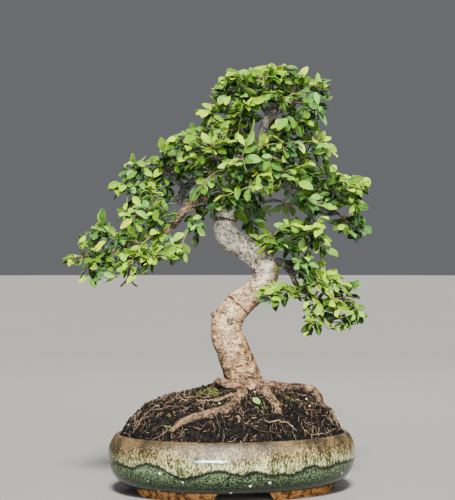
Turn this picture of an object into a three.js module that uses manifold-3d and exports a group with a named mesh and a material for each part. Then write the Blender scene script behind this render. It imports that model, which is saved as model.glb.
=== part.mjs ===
// A Chinese elm bonsai in an oval glazed pot: feet, drain holes and mesh screens, a mounded root ball,
// an S-shaped trunk on bare surface roots, and leafy sprays on its branches. Millimetres, +Z up.
import * as THREE from "three";
import { mergeVertices } from "three/addons/utils/BufferGeometryUtils.js";
import Module from "manifold-3d";

const wasm = await Module();
wasm.setup();

// Driving dimensions of the pot. Its ovals all differ by the same amount between length and width.
const POT_HALF_LENGTH = 124.5;
const OVAL_DIFFERENCE = 34.5;
const POT_HEIGHT = 60;
const FOOT_HEIGHT = 7;
const FLOOR_TOP = 12.5;
const POT_SEGMENTS = 32;
const KNEE = 60;

// How far the outer wall, the lip and the inner wall stand in from the widest oval, by height.
const WALL_OUTSIDE = [
  [26, FOOT_HEIGHT], [17.5, 9.5], [11.5, 17], [4.2, 26.5], [0.4, 36], [0.4, 45], [5, 53], [10, 58],
];
const LIP = [[13.5, POT_HEIGHT], [16.5, POT_HEIGHT - 0.4]];
const WALL_INSIDE = [[18, 58], [9, 49], [6.5, 41], [10, 27.5], [19, 16.5], [30, FLOOR_TOP]];

const FEET = { outer: 98, foot: 94, inner: 86, crown: 84, frontGap: 25, endGap: 20, flare: 6, overlap: 0.5 };
const DRAIN_HOLE = { radius: 9, spacing: 70, sides: 16 };
const SCREEN = { side: 27, thickness: 1, holes: 3, hole: 4.6, pitch: 6.8 };

// Driving dimensions of the soil, which is mounded over the rim round the old root ball.
const CLEARANCE = 0.3;
const SOIL_HALF_LENGTH = POT_HALF_LENGTH - 18 - CLEARANCE;
const SOIL_RINGS = [1, 0.94, 0.85, 0.7, 0.45, 0];
const MOUND = { edge: 57, height: 39, power: 5, edgePower: 6 };
const TRUNK_RISE = { height: 8, reach: 34 };
const LUMPS = [1.4, 0.8];

// The tree is drawn from its front, [right, back, up], and its front is turned from the pot's.
const FRONT_TURN = THREE.MathUtils.degToRad(9);

// Driving dimensions of the foliage. The angles are in radians, and the sways are how far a leaf may
// turn from the neat arrangement.
const LEAF = { length: [14, 18], slimness: [0.56, 0.66], thickness: 0.65, fold: 0.25, droop: [0.02, 0.18] };
const LEAF_RIM = [[0, 0], [0.36, 0.86], [0.74, 0.9], [0.74, -0.9], [0.36, -0.86]];
const LEAF_ROOT_SHARE = 0.35;
const LEAF_SITES = [0.14, 0.36, 0.58, 0.8, 1];
const LEAF_SWAY = { angle: 0.3, bend: 0.4, tilt: 0.5 };
const LEAF_ANGLE = 0.95;
const LEAF_SHORTEST = 0.86;
const GOLDEN_TURN = 2.4;
const SPRAY_REACH = 38;
const SHOOT_START = 0.3;
const STEM = { least: 8, bent: 22 };
const LIFT = 0.12;
const TWIG = { foot: 1.7, neck: 1.3, tip: 0.7, sides: 3 };
const LOOK = { out: 0.5, middle: 15, span: 120, edge: 22, level: 0.72, up: 0.55, flatten: 0.7 };
const SEED = 20260;
const SEED_STEP = 7919;
const TRIES = 8;

const YOUNG_EVERY = 3;
const FALLEN_LEAF = { x: 15, y: -49, length: 11, width: 8.5, lift: -0.75 };

const COLOURS = {
  glaze: "#8f8f6c",
  soil: "#2b211b",
  bark: "#a3907c",
  leaf: "#5f9a33",
  youngLeaf: "#96b83c",
  screen: "#2c3a30",
};

// How finely the wood is faceted.
const TRUNK_STEPS = 26;
const TRUNK_SIDES = 9;
const ROOT_SIDES = 5;
const BRANCH_SIDES = { thick: 5, thin: 4, thinBelow: 4.3 };

const point = ([x, y, z]) => new THREE.Vector3(x, y, z);

// Trunk: [right, back, up, radius] from under the soil, through the S, to the top of the leader.
const TRUNK = [
  [15, 0, 74, 15], [14, 0, 92, 20], [12, 0, 108, 18.8], [6.5, -1, 124, 17.2], [0.5, -2, 140, 16.8],
  [-5.5, -3, 156, 15.8], [-4, -2, 171, 15.2], [6.5, 0, 185, 13.6], [19, 3, 195, 12], [29.5, 5, 206, 12],
  [33.5, 5, 219, 13.2], [24, 4, 233.5, 12], [10.5, 1, 243.5, 11.5], [-2.5, -2, 252, 12], [-8.5, -3, 264, 11],
  [-6.5, -2, 280, 9.4], [1.5, 1, 295, 7.8], [13, 4, 311, 6.6], [21.5, 6, 329, 5.8], [27.5, 6, 347, 5],
  [32.5, 4, 365, 4.3], [38, 1, 382, 3.4], [42, -2, 396, 2.4],
];

// Surface roots, [right, back, up, radius]. Each starts inside the trunk's foot and ends under the soil.
const ROOTS = {
  frontRight: [
    [18, -4, 106, 7.5], [28, -15, 103, 6.8], [35, -28, 95, 5.8], [42, -40, 87, 5.2], [46, -48, 80, 4.2],
    [49, -53, 70, 2.8],
  ],
  frontLeft: [
    [12, -8, 96, 5], [9, -30, 99, 5.2], [4, -45, 92, 5.6], [-4, -53, 85, 5], [-22, -58, 79, 4],
    [-44, -62, 73, 3.2], [-62, -65, 62, 1.8],
  ],
  fork: [[3, -46, 88, 3.4], [2, -56, 80, 2.6], [8, -63, 67, 1.4]],
  left: [
    [16, -12, 103, 4.6], [-1, -19, 106, 4.2], [-11, -15, 110, 3.8], [-17, -8, 108, 3.2],
    [-21, 2, 92, 2.2],
  ],
  right: [
    [20, 2, 105, 6], [36, 3, 105, 4.6], [52, 5, 103.5, 4.1], [67, 6, 102, 3.9], [78, 5, 100.5, 3.8],
    [86, 3, 94, 3.3], [93, 0, 78, 2],
  ],
  rightEdge: [[84, 2, 92, 2], [91, -4, 84.5, 1.7], [99, -5, 80, 1.6], [104, -7, 64, 1.2]],
  thin: [[18, -20, 98, 2.2], [0, -36, 98.5, 1.8], [-14, -42, 94.5, 1.6], [-34, -47, 84, 1.2]],
  backRight: [[18, 6, 104, 6.5], [26, 22, 101, 5.2], [38, 38, 96, 4.2], [50, 54, 80, 2.4]],
  backLeft: [
    [6, 6, 100, 6.5], [-10, 20, 98, 4.6], [-30, 32, 93.5, 3.8], [-52, 40, 87, 3], [-66, 43, 77, 2],
  ],
};

// Branches, [right, back, up, radius]. Each starts inside the wood that carries it.
const BRANCHES = {
  lowLeft: [
    [-4, -2, 280, 6], [-16, -6, 288, 5.2], [-32, -10, 291, 4.6], [-45, -15, 282, 4.2],
    [-58, -19, 266, 4], [-70, -22, 256, 3.4], [-88, -24, 251, 2.8], [-108, -24, 243, 2.2],
    [-128, -24, 234, 1.7],
  ],
  highLeft: [
    [12, 5, 309, 5.6], [-4, 12, 318, 5], [-24, 20, 320, 4.4], [-40, 25, 310, 4.2], [-51, 27, 298, 4.4],
    [-56, 27, 287, 4.6],
  ],
  highLeftFork: [
    [-48, 27, 302, 3.6], [-59, 25, 313, 3.2], [-73, 22, 319, 2.7], [-88, 18, 313, 2.2],
    [-100, 15, 303, 1.6],
  ],
  right: [
    [20, 5, 325, 5.6], [38, 8, 318, 5], [55, 10, 305, 4.8], [73, 12, 290, 4.8], [90, 12, 280, 4.6],
    [104, 10, 279, 4.4],
  ],
  rightFork: [[98, 10, 280, 3], [110, 6, 286, 2.4], [118, 2, 294, 1.6]],
  lowRight: [
    [34, 5, 219, 6], [47, 3, 228, 4.4], [58, 0, 219, 3.6], [64, -4, 206, 3.2], [76, -8, 196, 2.9],
    [92, -10, 186, 2.6], [108, -10, 174, 2.8], [116, -10, 164, 3.2],
  ],
  midRight: [[30, 6, 222, 5], [40, 10, 238, 3.4], [52, 8, 247, 2.7], [66, 2, 250, 2.1], [78, -4, 246, 1.5]],
  back: [[-4, 0, 268, 6], [4, 20, 276, 4.4], [16, 38, 284, 3.4], [32, 52, 290, 2.4], [46, 60, 292, 1.6]],
  backHigh: [[21, 6, 326, 4.8], [14, 24, 336, 3.6], [4, 38, 342, 2.6], [-12, 46, 340, 1.7]],
  front: [[2, 0, 294, 5.4], [-2, -14, 306, 4], [-6, -26, 316, 3], [-14, -34, 322, 2]],
  frontRight: [[12, 4, 310, 4.8], [18, -10, 318, 3.6], [28, -22, 322, 2.7], [40, -28, 320, 1.8]],
  crownLeft: [[27, 6, 344, 3.8], [16, 0, 358, 3], [4, -4, 370, 2.4], [-10, -6, 380, 1.6]],
  crownRight: [
    [34, 4, 368, 3.8], [46, 5, 380, 3.4], [60, 4, 388, 2.6], [80, 2, 392, 1.8], [101, 2, 393, 1],
  ],
  crownLow: [[27, 6, 346, 3.8], [42, 4, 356, 3], [58, 0, 358, 2.3], [74, -2, 354, 1.6]],
  crownBack: [[30, 6, 356, 3.4], [34, 20, 370, 2.6], [36, 30, 382, 1.8]],
  deadFork: [[-98, -24, 247, 1.9], [-100, -28, 228, 1.5], [-103, -30, 212, 1.1], [-110, -30, 204, 0.9]],
  deadTwig: [[-102, -30, 213, 1.1], [-97, -31, 207, 0.9], [-93, -31, 204, 0.8]],
  nub: [[-8, -2, 170, 3.4], [-15, -6, 174, 3], [-21, -9, 177, 2]],
};

// Sprays: the branch, how far along it, the end of the spray's twig, [right, back, up], and of a side shoot.
const SPRAYS = [
  ["trunk", 0.985, [40, -6, 414]], ["crownRight", 0.4, [66, -4, 411]],
  ["crownLeft", 0.9, [-3, -10, 406], [15, -16, 410]], ["crownLeft", 0.98, [-23, -3, 377]],
  ["crownRight", 0.74, [86, 0, 404]], ["crownRight", 0.6, [84, -14, 378]],
  ["crownLeft", 0.55, [14, -34, 383]], ["crownRight", 0.22, [48, -30, 388]],
  ["crownBack", 0.8, [16, 34, 402]], ["crownBack", 0.9, [62, 38, 394]],
  ["crownLeft", 0.2, [-9, -22, 358]], ["crownLow", 0.6, [64, -28, 364]],
  ["crownLow", 0.95, [92, 0, 346]], ["crownLow", 0.35, [50, -34, 338]],
  ["backHigh", 0.3, [44, 44, 348]], ["backHigh", 0.8, [2, 56, 362]],
  ["highLeft", 0.4, [-34, 0, 354], [-54, -8, 348]], ["highLeftFork", 0.35, [-68, 4, 340]],
  ["highLeft", 0.55, [-52, -14, 324]], ["highLeftFork", 0.8, [-98, 14, 324]],
  ["highLeftFork", 0.97, [-110, 6, 303]], ["highLeftFork", 0.7, [-90, 4, 290]],
  ["highLeftFork", 0.5, [-76, 48, 320]], ["highLeft", 0.5, [-40, 54, 330]],
  ["front", 0.95, [-22, -44, 342]], ["front", 0.7, [10, -48, 328]],
  ["front", 0.85, [-32, -38, 302]], ["frontRight", 0.4, [16, -44, 300]],
  ["front", 0.35, [-18, -30, 284], [2, -38, 288]], ["frontRight", 0.9, [50, -40, 310]],
  ["trunk", 0.84, [32, -32, 342]], ["back", 0.6, [18, 62, 268]],
  ["back", 0.95, [62, 66, 286]], ["backHigh", 0.95, [-20, 66, 322]],
  ["right", 0.35, [70, -16, 324]], ["right", 0.75, [98, -4, 316], [114, -16, 308]],
  ["rightFork", 0.9, [126, 2, 303]], ["right", 0.97, [118, -2, 264]],
  ["right", 0.6, [76, -14, 286]], ["right", 0.7, [96, 40, 300]],
  ["rightFork", 0.5, [122, -16, 284]], ["midRight", 0.45, [38, -18, 250], [56, -20, 266]],
  ["midRight", 0.8, [82, -14, 262], [92, -10, 242]], ["lowRight", 0.35, [70, -22, 228]],
  ["lowRight", 0.5, [38, -22, 193]], ["lowRight", 0.62, [94, -10, 212], [88, 26, 210]],
  ["lowRight", 0.8, [118, -4, 200], [98, -26, 192]], ["lowRight", 0.97, [124, -10, 180]],
  ["lowRight", 0.72, [80, -18, 168]], ["lowLeft", 0.98, [-158, -26, 230], [-140, -36, 216]],
  ["lowLeft", 0.85, [-132, -14, 258]], ["lowLeft", 0.7, [-100, -38, 226], [-78, -40, 232]],
  ["lowLeft", 0.62, [-78, -24, 280], [-106, -14, 274]], ["lowLeft", 0.3, [-36, -14, 256], [-52, -30, 240]],
];

// A seeded draw of even numbers from 0 to 1.
class Dice {
  constructor(seed) {
    this.state = seed >>> 0;
    this.next();
    this.next();
  }
  next() {
    this.state = (Math.imul(this.state, 1664525) + 1013904223) >>> 0;
    return this.state / 4294967296;
  }
  between([low, high]) {
    return low + (high - low) * this.next();
  }
  around(spread) {
    return spread * (2 * this.next() - 1);
  }
}

// Solids and meshes.
function solid(geometry) {
  const bare = geometry.index ? geometry.toNonIndexed() : geometry.clone();
  bare.deleteAttribute("normal");
  bare.deleteAttribute("uv");
  const merged = mergeVertices(bare, 1e-4);
  return new wasm.Manifold(new wasm.Mesh({
    numProp: 3,
    vertProperties: merged.attributes.position.array,
    triVerts: new Uint32Array(merged.index.array),
  }));
}

function geometryOf(body) {
  const mesh = body.getMesh();
  const geometry = new THREE.BufferGeometry();
  geometry.setAttribute("position", new THREE.BufferAttribute(mesh.vertProperties, 3));
  geometry.setIndex(new THREE.BufferAttribute(mesh.triVerts, 1));
  return geometry;
}

const fuse = (bodies) => bodies.reduce((whole, body) => whole.add(body));

function meshOf(name, body, colour, roughness) {
  const geometry = geometryOf(body).toNonIndexed();
  geometry.computeVertexNormals();
  const material = new THREE.MeshStandardMaterial({ color: colour, roughness, metalness: 0 });
  const mesh = new THREE.Mesh(geometry, material);
  mesh.name = name;
  return mesh;
}

// A closed limb of round section along points, with a radius at each, grown by a margin where asked.
function limb(points, radii, sides, ends = {}) {
  const positions = [];
  const faces = [];
  const last = points.length - 1;
  let across = new THREE.Vector3(0.31, 0.87, -0.39);
  points.forEach((centre, i) => {
    const ahead = points[Math.min(i + 1, last)].clone().sub(points[Math.max(i - 1, 0)]).normalize();
    if (i === 0 && ends.first) ahead.copy(ends.first);
    if (i === last && ends.last) ahead.copy(ends.last);
    across = across.clone().addScaledVector(ahead, -across.dot(ahead)).normalize();
    const up = ahead.clone().cross(across);
    for (let side = 0; side < sides; side++) {
      const angle = (2 * Math.PI * side) / sides;
      const corner = centre.clone()
        .addScaledVector(across, radii[i] * Math.cos(angle))
        .addScaledVector(up, radii[i] * Math.sin(angle));
      positions.push(corner.x, corner.y, corner.z);
    }
  });
  for (let ring = 0; ring < last; ring++) {
    for (let side = 0; side < sides; side++) {
      const a = ring * sides + side;
      const b = ring * sides + ((side + 1) % sides);
      faces.push(a, b, b + sides, a, b + sides, a + sides);
    }
  }
  for (let side = 1; side < sides - 1; side++) {
    faces.push(0, side + 1, side);
    faces.push(last * sides, last * sides + side, last * sides + side + 1);
  }
  const geometry = new THREE.BufferGeometry();
  geometry.setAttribute("position", new THREE.Float32BufferAttribute(positions, 3));
  geometry.setIndex(faces);
  return geometry;
}

// A smooth path through rows of [right, back, up, radius].
function pathOf(rows) {
  const curve = new THREE.CatmullRomCurve3(rows.map(point), false, "catmullrom", 0.5);
  const radiusAt = (share) => {
    const place = share * (rows.length - 1);
    const row = Math.min(Math.floor(place), rows.length - 2);
    return THREE.MathUtils.lerp(rows[row][3], rows[row + 1][3], place - row);
  };
  return { curve, radiusAt, rows };
}

function limbAlong({ curve, radiusAt }, steps, sides, margin = 0) {
  const shares = Array.from({ length: steps + 1 }, (_, i) => i / steps);
  return limb(shares.map((s) => curve.getPoint(s)), shares.map((s) => radiusAt(s) + margin), sides);
}

// Boxes stand in for leaves and twigs while the foliage is laid out, so that nothing crosses.
function boxOf(centre, axes, half) {
  return { centre, axes, half, reach: Math.hypot(...half) };
}

function boxAlong(from, to, radius) {
  const axis = to.clone().sub(from);
  const half = axis.length() / 2;
  axis.normalize();
  const side = new THREE.Vector3(0.31, 0.87, -0.39);
  side.addScaledVector(axis, -side.dot(axis)).normalize();
  const middle = from.clone().add(to).multiplyScalar(0.5);
  return boxOf(middle, [axis, side, axis.clone().cross(side)], [half, radius, radius]);
}

function boxesCross(a, b) {
  const between = b.centre.clone().sub(a.centre);
  if (between.length() > a.reach + b.reach) return false;
  const tests = [...a.axes, ...b.axes];
  for (const p of a.axes) for (const q of b.axes) tests.push(p.clone().cross(q));
  return tests.every((axis) => {
    if (axis.lengthSq() < 1e-8) return true;
    const reach = ({ half, axes }) => half.reduce((sum, h, i) => sum + h * Math.abs(axes[i].dot(axis)), 0);
    return Math.abs(between.dot(axis)) <= reach(a) + reach(b);
  });
}

// Leaves: base, the way it points, the way its face looks, and its size.
function leafSide(leaf) {
  return leaf.along.clone().cross(leaf.normal).normalize();
}

function leafBox(leaf, from) {
  const rise = 0.5 * leaf.width * Math.sin(LEAF.fold);
  const drop = leaf.droop * leaf.length;
  const centre = leaf.base.clone()
    .addScaledVector(leaf.along, 0.5 * (1 + from) * leaf.length)
    .addScaledVector(leaf.normal, 0.5 * (rise - drop));
  const half = [0.5 * (1 - from) * leaf.length, 0.5 * leaf.width, 0.5 * (rise + drop + LEAF.thickness)];
  return boxOf(centre, [leaf.along, leafSide(leaf), leaf.normal], half);
}

// One blade: a rim of points with its sides raised from its midrib, drooping to a pointed tip.
function blade(leaf) {
  const side = leafSide(leaf);
  const place = (along, across, level) => leaf.base.clone()
    .addScaledVector(leaf.along, along * leaf.length)
    .addScaledVector(side, 0.5 * across * leaf.width * Math.cos(LEAF.fold))
    .addScaledVector(leaf.normal, 0.5 * Math.abs(across) * leaf.width * Math.sin(LEAF.fold)
      - leaf.droop * leaf.length * along * along + level * LEAF.thickness);
  const below = LEAF_RIM.length;
  const tip = 2 * below;
  const corners = [0.5, -0.5].flatMap((level) => LEAF_RIM.map(([u, v]) => place(u, v, level)));
  corners.push(place(1, 0, 0));
  const top = [[0, 1, 4], [1, 2, 3], [1, 3, 4], [2, tip, 3]];
  const under = top.map((face) => face.map((i) => (i === tip ? i : i + below)).reverse());
  const wall = (i, j) => [[i, i + below, j + below], [i, j + below, j]];
  const tipWalls = [[2, 2 + below, tip], [3, tip, 3 + below]];
  const walls = [...wall(0, 1), ...wall(1, 2), ...tipWalls, ...wall(3, 4), ...wall(4, 0)];
  const geometry = new THREE.BufferGeometry();
  geometry.setAttribute("position", new THREE.Float32BufferAttribute(corners.flatMap((c) => c.toArray()), 3));
  geometry.setIndex([...top, ...under, ...walls].flat());
  return geometry;
}

// A twig's points from its foot, arched up a little, with the stretch past its neck to carry the leaves.
function layTwig(foot, end, reach, rise) {
  const tip = point(end);
  const length = tip.distanceTo(foot);
  const middle = foot.clone().add(tip).multiplyScalar(0.5);
  middle.z += rise * length;
  const bend = new THREE.QuadraticBezierCurve3(foot, middle, tip);
  const neck = reach ? Math.max(STEM.least / length, 1 - reach / length) : 0;
  const stem = neck * length > STEM.bent ? [0, neck / 2, neck] : [0, neck];
  return {
    stem: stem.map((s) => bend.getPoint(s)),
    points: [0, 0.5, 1].map((s) => bend.getPoint(neck + (1 - neck) * s)),
    ahead: bend.getTangent(neck),
  };
}

const boxesAlong = (points, radius) => points.slice(1).map((p, i) => boxAlong(points[i], p, radius));

// The layout of one spray: a stem that belongs to the tree, then its twig and, on some, a side shoot.
function layTwigs([branchName, share, end, sideEnd], paths, index) {
  const main = layTwig(paths[branchName].curve.getPoint(share), end, SPRAY_REACH, LIFT);
  const twigs = [main.points];
  if (sideEnd) twigs.push(layTwig(placeOn(main.points, SHOOT_START).base, sideEnd, 0, LIFT / 2).points);
  const centre = main.points[1];
  const look = new THREE.Vector3(
    LOOK.out * THREE.MathUtils.clamp((centre.x - LOOK.middle) / LOOK.span, -1, 1),
    centre.y > LOOK.edge ? LOOK.level : -LOOK.level,
    LOOK.up,
  ).normalize();
  return {
    index, twigs, look,
    stem: main.stem,
    neckAhead: main.ahead,
    dice: new Dice(SEED + SEED_STEP * index),
    twigBoxes: twigs.flatMap((points) => boxesAlong(points, TWIG.neck)),
    leaves: [],
    leafBoxes: [],
  };
}

function placeOn(twig, share) {
  const place = share * (twig.length - 1);
  const row = Math.min(Math.floor(place), twig.length - 2);
  return {
    base: twig[row].clone().lerp(twig[row + 1], place - row),
    heading: twig[row + 1].clone().sub(twig[row]).normalize(),
  };
}

// One leaf at its site. Leaves alternate along a twig and face the way their spray looks; on a twig that
// points that way itself they stand round it.
function drawLeaf(spray, twig, share, turn, side) {
  const { dice, look } = spray;
  const { base, heading } = placeOn(twig, share);
  const spread = heading.clone().cross(look);
  const level = new THREE.Vector3(0, 0, 1).cross(look).normalize();
  const across = spread.clone().multiplyScalar(side === 0 ? 1 : side)
    .addScaledVector(level, (1 - spread.length()) * Math.cos(turn))
    .addScaledVector(look.clone().cross(level), (1 - spread.length()) * Math.sin(turn))
    .normalize();
  const angle = (side === 0 ? 0 : LEAF_ANGLE) + dice.around(LEAF_SWAY.angle);
  const along = heading.clone().multiplyScalar(Math.cos(angle)).addScaledVector(across, Math.sin(angle));
  along.addScaledVector(look, dice.around(LEAF_SWAY.bend) - LOOK.flatten * along.dot(look)).normalize();
  const tilt = point([0, 0, 0].map(() => dice.around(LEAF_SWAY.tilt)));
  const normal = look.clone().add(tilt);
  normal.addScaledVector(along, -normal.dot(along)).normalize();
  const length = dice.between(LEAF.length) * THREE.MathUtils.lerp(LEAF_SHORTEST, 1, share);
  const width = length * dice.between(LEAF.slimness);
  return { base, along, normal, length, width, droop: dice.between(LEAF.droop) };
}

function laySprays(paths) {
  const wood = Object.values(paths).flatMap(({ curve, radiusAt, rows }) => {
    const steps = 2 * (rows.length - 1);
    return Array.from({ length: steps }, (_, i) =>
      boxAlong(curve.getPoint(i / steps), curve.getPoint((i + 1) / steps), radiusAt(i / steps) + 0.4));
  });
  const sprays = SPRAYS.map((row, index) => layTwigs(row, paths, index));
  wood.push(...sprays.flatMap((spray) => boxesAlong(spray.stem, TWIG.foot)));
  const isClear = (leaf, own) => {
    const whole = leafBox(leaf, 0);
    const outer = leafBox(leaf, LEAF_ROOT_SHARE);
    if (wood.some((other) => boxesCross(whole, other))) return false;
    return sprays.every((spray) => {
      const box = spray === own ? outer : whole;
      const others = spray.leafBoxes.map((pair) => (spray === own ? pair.outer : pair.whole));
      return ![...others, ...spray.twigBoxes].some((other) => boxesCross(box, other));
    });
  };
  const addLeaf = (spray, twig, share, count) => {
    const side = share === 1 ? 0 : (-1) ** (count + spray.index);
    for (let attempt = 0; attempt < TRIES; attempt++) {
      const leaf = drawLeaf(spray, twig, share, GOLDEN_TURN * count, side);
      if (!isClear(leaf, spray)) continue;
      spray.leaves.push(leaf);
      spray.leafBoxes.push({ whole: leafBox(leaf, 0), outer: leafBox(leaf, LEAF_ROOT_SHARE) });
      return;
    }
  };
  sprays.forEach((spray) => spray.twigs.forEach((twig, t) =>
    LEAF_SITES.slice(2 * t).forEach((share, i) => addLeaf(spray, twig, share, i + t))));
  return sprays;
}

function sprayBody(spray) {
  const bodies = spray.twigs.map((points, t) => {
    const twig = points.map((p) => p.clone());
    const thick = t === 0 ? TWIG.neck : 0.5 * (TWIG.neck + TWIG.tip);
    if (t === 0) twig[0].addScaledVector(spray.neckAhead, CLEARANCE);
    const radii = twig.map((_, i) => THREE.MathUtils.lerp(thick, TWIG.tip, i / (twig.length - 1)));
    return solid(limb(twig, radii, TWIG.sides, t === 0 ? { first: spray.neckAhead } : {}));
  });
  return fuse([...bodies, ...spray.leaves.map((leaf) => solid(blade(leaf)))]);
}

// The trunk and the surface roots, which the soil is cut to, grown by a margin.
function rootsBody(paths, margin) {
  const roots = Object.values(ROOTS).map((rows) => limbAlong(pathOf(rows), rows.length, ROOT_SIDES, margin));
  return fuse([limbAlong(paths.trunk, TRUNK_STEPS, TRUNK_SIDES, margin), ...roots].map(solid));
}

// The wood: trunk, surface roots, branches and the stems that the sprays grow on, all one body.
function woodBody(paths, sprays) {
  const branches = Object.entries(BRANCHES).map(([name, rows]) => {
    const sides = rows[0][3] < BRANCH_SIDES.thinBelow ? BRANCH_SIDES.thin : BRANCH_SIDES.thick;
    return limbAlong(paths[name], rows.length - 1, sides);
  });
  const stems = sprays.map(({ stem, neckAhead }) => {
    const radii = stem.map((_, i) => THREE.MathUtils.lerp(TWIG.foot, TWIG.neck, i / (stem.length - 1)));
    return limb(stem, radii, TWIG.sides, { last: neckAhead });
  });
  return fuse([rootsBody(paths, 0), ...[...branches, ...stems].map(solid)]);
}

// The pot's ovals: half the width that goes with half a length.
const halfWidth = (halfLength) => (halfLength > KNEE
  ? halfLength - OVAL_DIFFERENCE
  : (halfLength * (KNEE - OVAL_DIFFERENCE)) / KNEE);

// A lathe of a half profile, [half length, height], drawn out to the pot's oval, +Z up.
function ovalLathe(profile, segments, levelOf) {
  const geometry = new THREE.LatheGeometry(profile.map(([r, z]) => new THREE.Vector2(r, z)), segments);
  geometry.rotateX(Math.PI / 2);
  const places = geometry.attributes.position;
  for (let i = 0; i < places.count; i++) {
    const halfLength = Math.hypot(places.getX(i), places.getY(i));
    if (halfLength > 1e-6) places.setY(i, (places.getY(i) * halfWidth(halfLength)) / halfLength);
    if (levelOf) places.setZ(i, levelOf(places.getX(i), places.getY(i), places.getZ(i)));
  }
  return geometry;
}

function potBody() {
  const wall = (rows) => rows.map(([inset, z]) => [POT_HALF_LENGTH - inset, z]);
  const profile = [[0, FOOT_HEIGHT], ...wall([...WALL_OUTSIDE, ...LIP, ...WALL_INSIDE]), [0, FLOOR_TOP]];
  const { radius, spacing, sides } = DRAIN_HOLE;
  const holes = [-1, 1].map((side) => {
    const hole = new THREE.CylinderGeometry(radius, radius, 2 * FLOOR_TOP, sides);
    return solid(hole.rotateX(Math.PI / 2).translate((side * spacing) / 2, 0, FOOT_HEIGHT));
  });
  const shell = solid(ovalLathe(profile, POT_SEGMENTS)).add(feetBody());
  return holes.reduce((pot, hole) => pot.subtract(hole), shell);
}

// Four feet: a ring under the wall, parted at the front, the back and both ends by sloping gaps.
function feetBody() {
  const top = FOOT_HEIGHT + FEET.overlap;
  const section = [[FEET.inner, 0], [FEET.foot, 0], [FEET.outer, top], [FEET.crown, top], [FEET.inner, 0]];
  const ring = solid(ovalLathe(section, POT_SEGMENTS));
  const gap = (halfGap) => {
    const outline = new THREE.Shape([
      new THREE.Vector2(-halfGap - FEET.flare, -1), new THREE.Vector2(halfGap + FEET.flare, -1),
      new THREE.Vector2(halfGap, FOOT_HEIGHT), new THREE.Vector2(-halfGap, FOOT_HEIGHT),
    ]);
    const length = 3 * POT_HALF_LENGTH;
    const cutter = new THREE.ExtrudeGeometry(outline, { depth: length, bevelEnabled: false });
    return cutter.rotateX(Math.PI / 2).translate(0, length / 2, 0);
  };
  return ring.subtract(solid(gap(FEET.frontGap))).subtract(solid(gap(FEET.endGap).rotateZ(Math.PI / 2)));
}

// The mound: a dome over the pot's oval, with a rise at the trunk's foot and a few low lumps.
function moundHeight(x, y) {
  const share = Math.min(1, Math.hypot(x / SOIL_HALF_LENGTH, y / halfWidth(SOIL_HALF_LENGTH)));
  const trunk = point(TRUNK[1]).applyAxisAngle(new THREE.Vector3(0, 0, 1), -FRONT_TURN);
  const away = Math.hypot(x - trunk.x, y - trunk.y) / TRUNK_RISE.reach;
  const lumps = LUMPS[0] * Math.sin(0.11 * x + 0.6) * Math.cos(0.13 * y - 0.4)
    + LUMPS[1] * Math.sin(0.23 * x - 0.19 * y);
  return MOUND.edge + MOUND.height * (1 - share ** MOUND.power)
    + (TRUNK_RISE.height * Math.exp(-away * away) + lumps) * (1 - share ** MOUND.edgePower);
}

// The soil fills the pot up to its mound, less the hollows that the wood and the drain screens lie in.
function soilBody(paths) {
  const above = POT_HEIGHT + 1;
  const wall = WALL_INSIDE.slice(1).reverse().map(([inset, z]) => [POT_HALF_LENGTH - inset - CLEARANCE, z]);
  wall[0][1] += CLEARANCE;
  const top = SOIL_RINGS.map((share) => [share * SOIL_HALF_LENGTH, above]);
  const levelOf = (x, y, z) => (z === above ? moundHeight(x, y) : z);
  const mound = solid(ovalLathe([[0, wall[0][1]], ...wall, ...top], POT_SEGMENTS, levelOf));
  const across = SCREEN.side + 2 * CLEARANCE;
  const deep = 2 * (SCREEN.thickness + 2 * CLEARANCE);
  const pockets = [-1, 1].map((side) => {
    const pocket = new THREE.BoxGeometry(across, across, deep);
    return solid(pocket.translate((side * DRAIN_HOLE.spacing) / 2, 0, FLOOR_TOP));
  });
  const roots = rootsBody(paths, CLEARANCE).rotate([0, 0, -THREE.MathUtils.radToDeg(FRONT_TURN)]);
  return [roots, ...pockets].reduce((soil, cut) => soil.subtract(cut), mound);
}

// A square plastic mesh screen that keeps the soil over a drain hole.
function screenBody() {
  const { side, thickness, holes, hole, pitch } = SCREEN;
  const sheet = solid(new THREE.BoxGeometry(side, side, thickness).translate(0, 0, thickness / 2));
  const cuts = Array.from({ length: holes * holes }, (_, i) => {
    const x = pitch * ((i % holes) - (holes - 1) / 2);
    const y = pitch * (Math.floor(i / holes) - (holes - 1) / 2);
    return solid(new THREE.BoxGeometry(hole, hole, 4 * thickness).translate(x, y, 0));
  });
  return cuts.reduce((screen, cut) => screen.subtract(cut), sheet);
}

// One shed leaf, lying on the slope of the soil in front of the trunk.
function fallenLeaf({ x, y, length, width, lift }) {
  const step = 2;
  const slope = (dx, dy) => (moundHeight(x + dx, y + dy) - moundHeight(x - dx, y - dy)) / (2 * step);
  const normal = new THREE.Vector3(-slope(step, 0), -slope(0, step), 1).normalize();
  const along = new THREE.Vector3(0.35, -1, 0);
  along.addScaledVector(normal, -along.dot(normal)).normalize();
  const base = new THREE.Vector3(x, y, moundHeight(x, y))
    .addScaledVector(normal, lift)
    .addScaledVector(along, -length / 2);
  return solid(blade({ base, along, normal, length, width, droop: 0 }));
}

const paths = { trunk: pathOf(TRUNK) };
Object.entries(BRANCHES).forEach(([name, rows]) => { paths[name] = pathOf(rows); });
const sprays = laySprays(paths);

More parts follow.
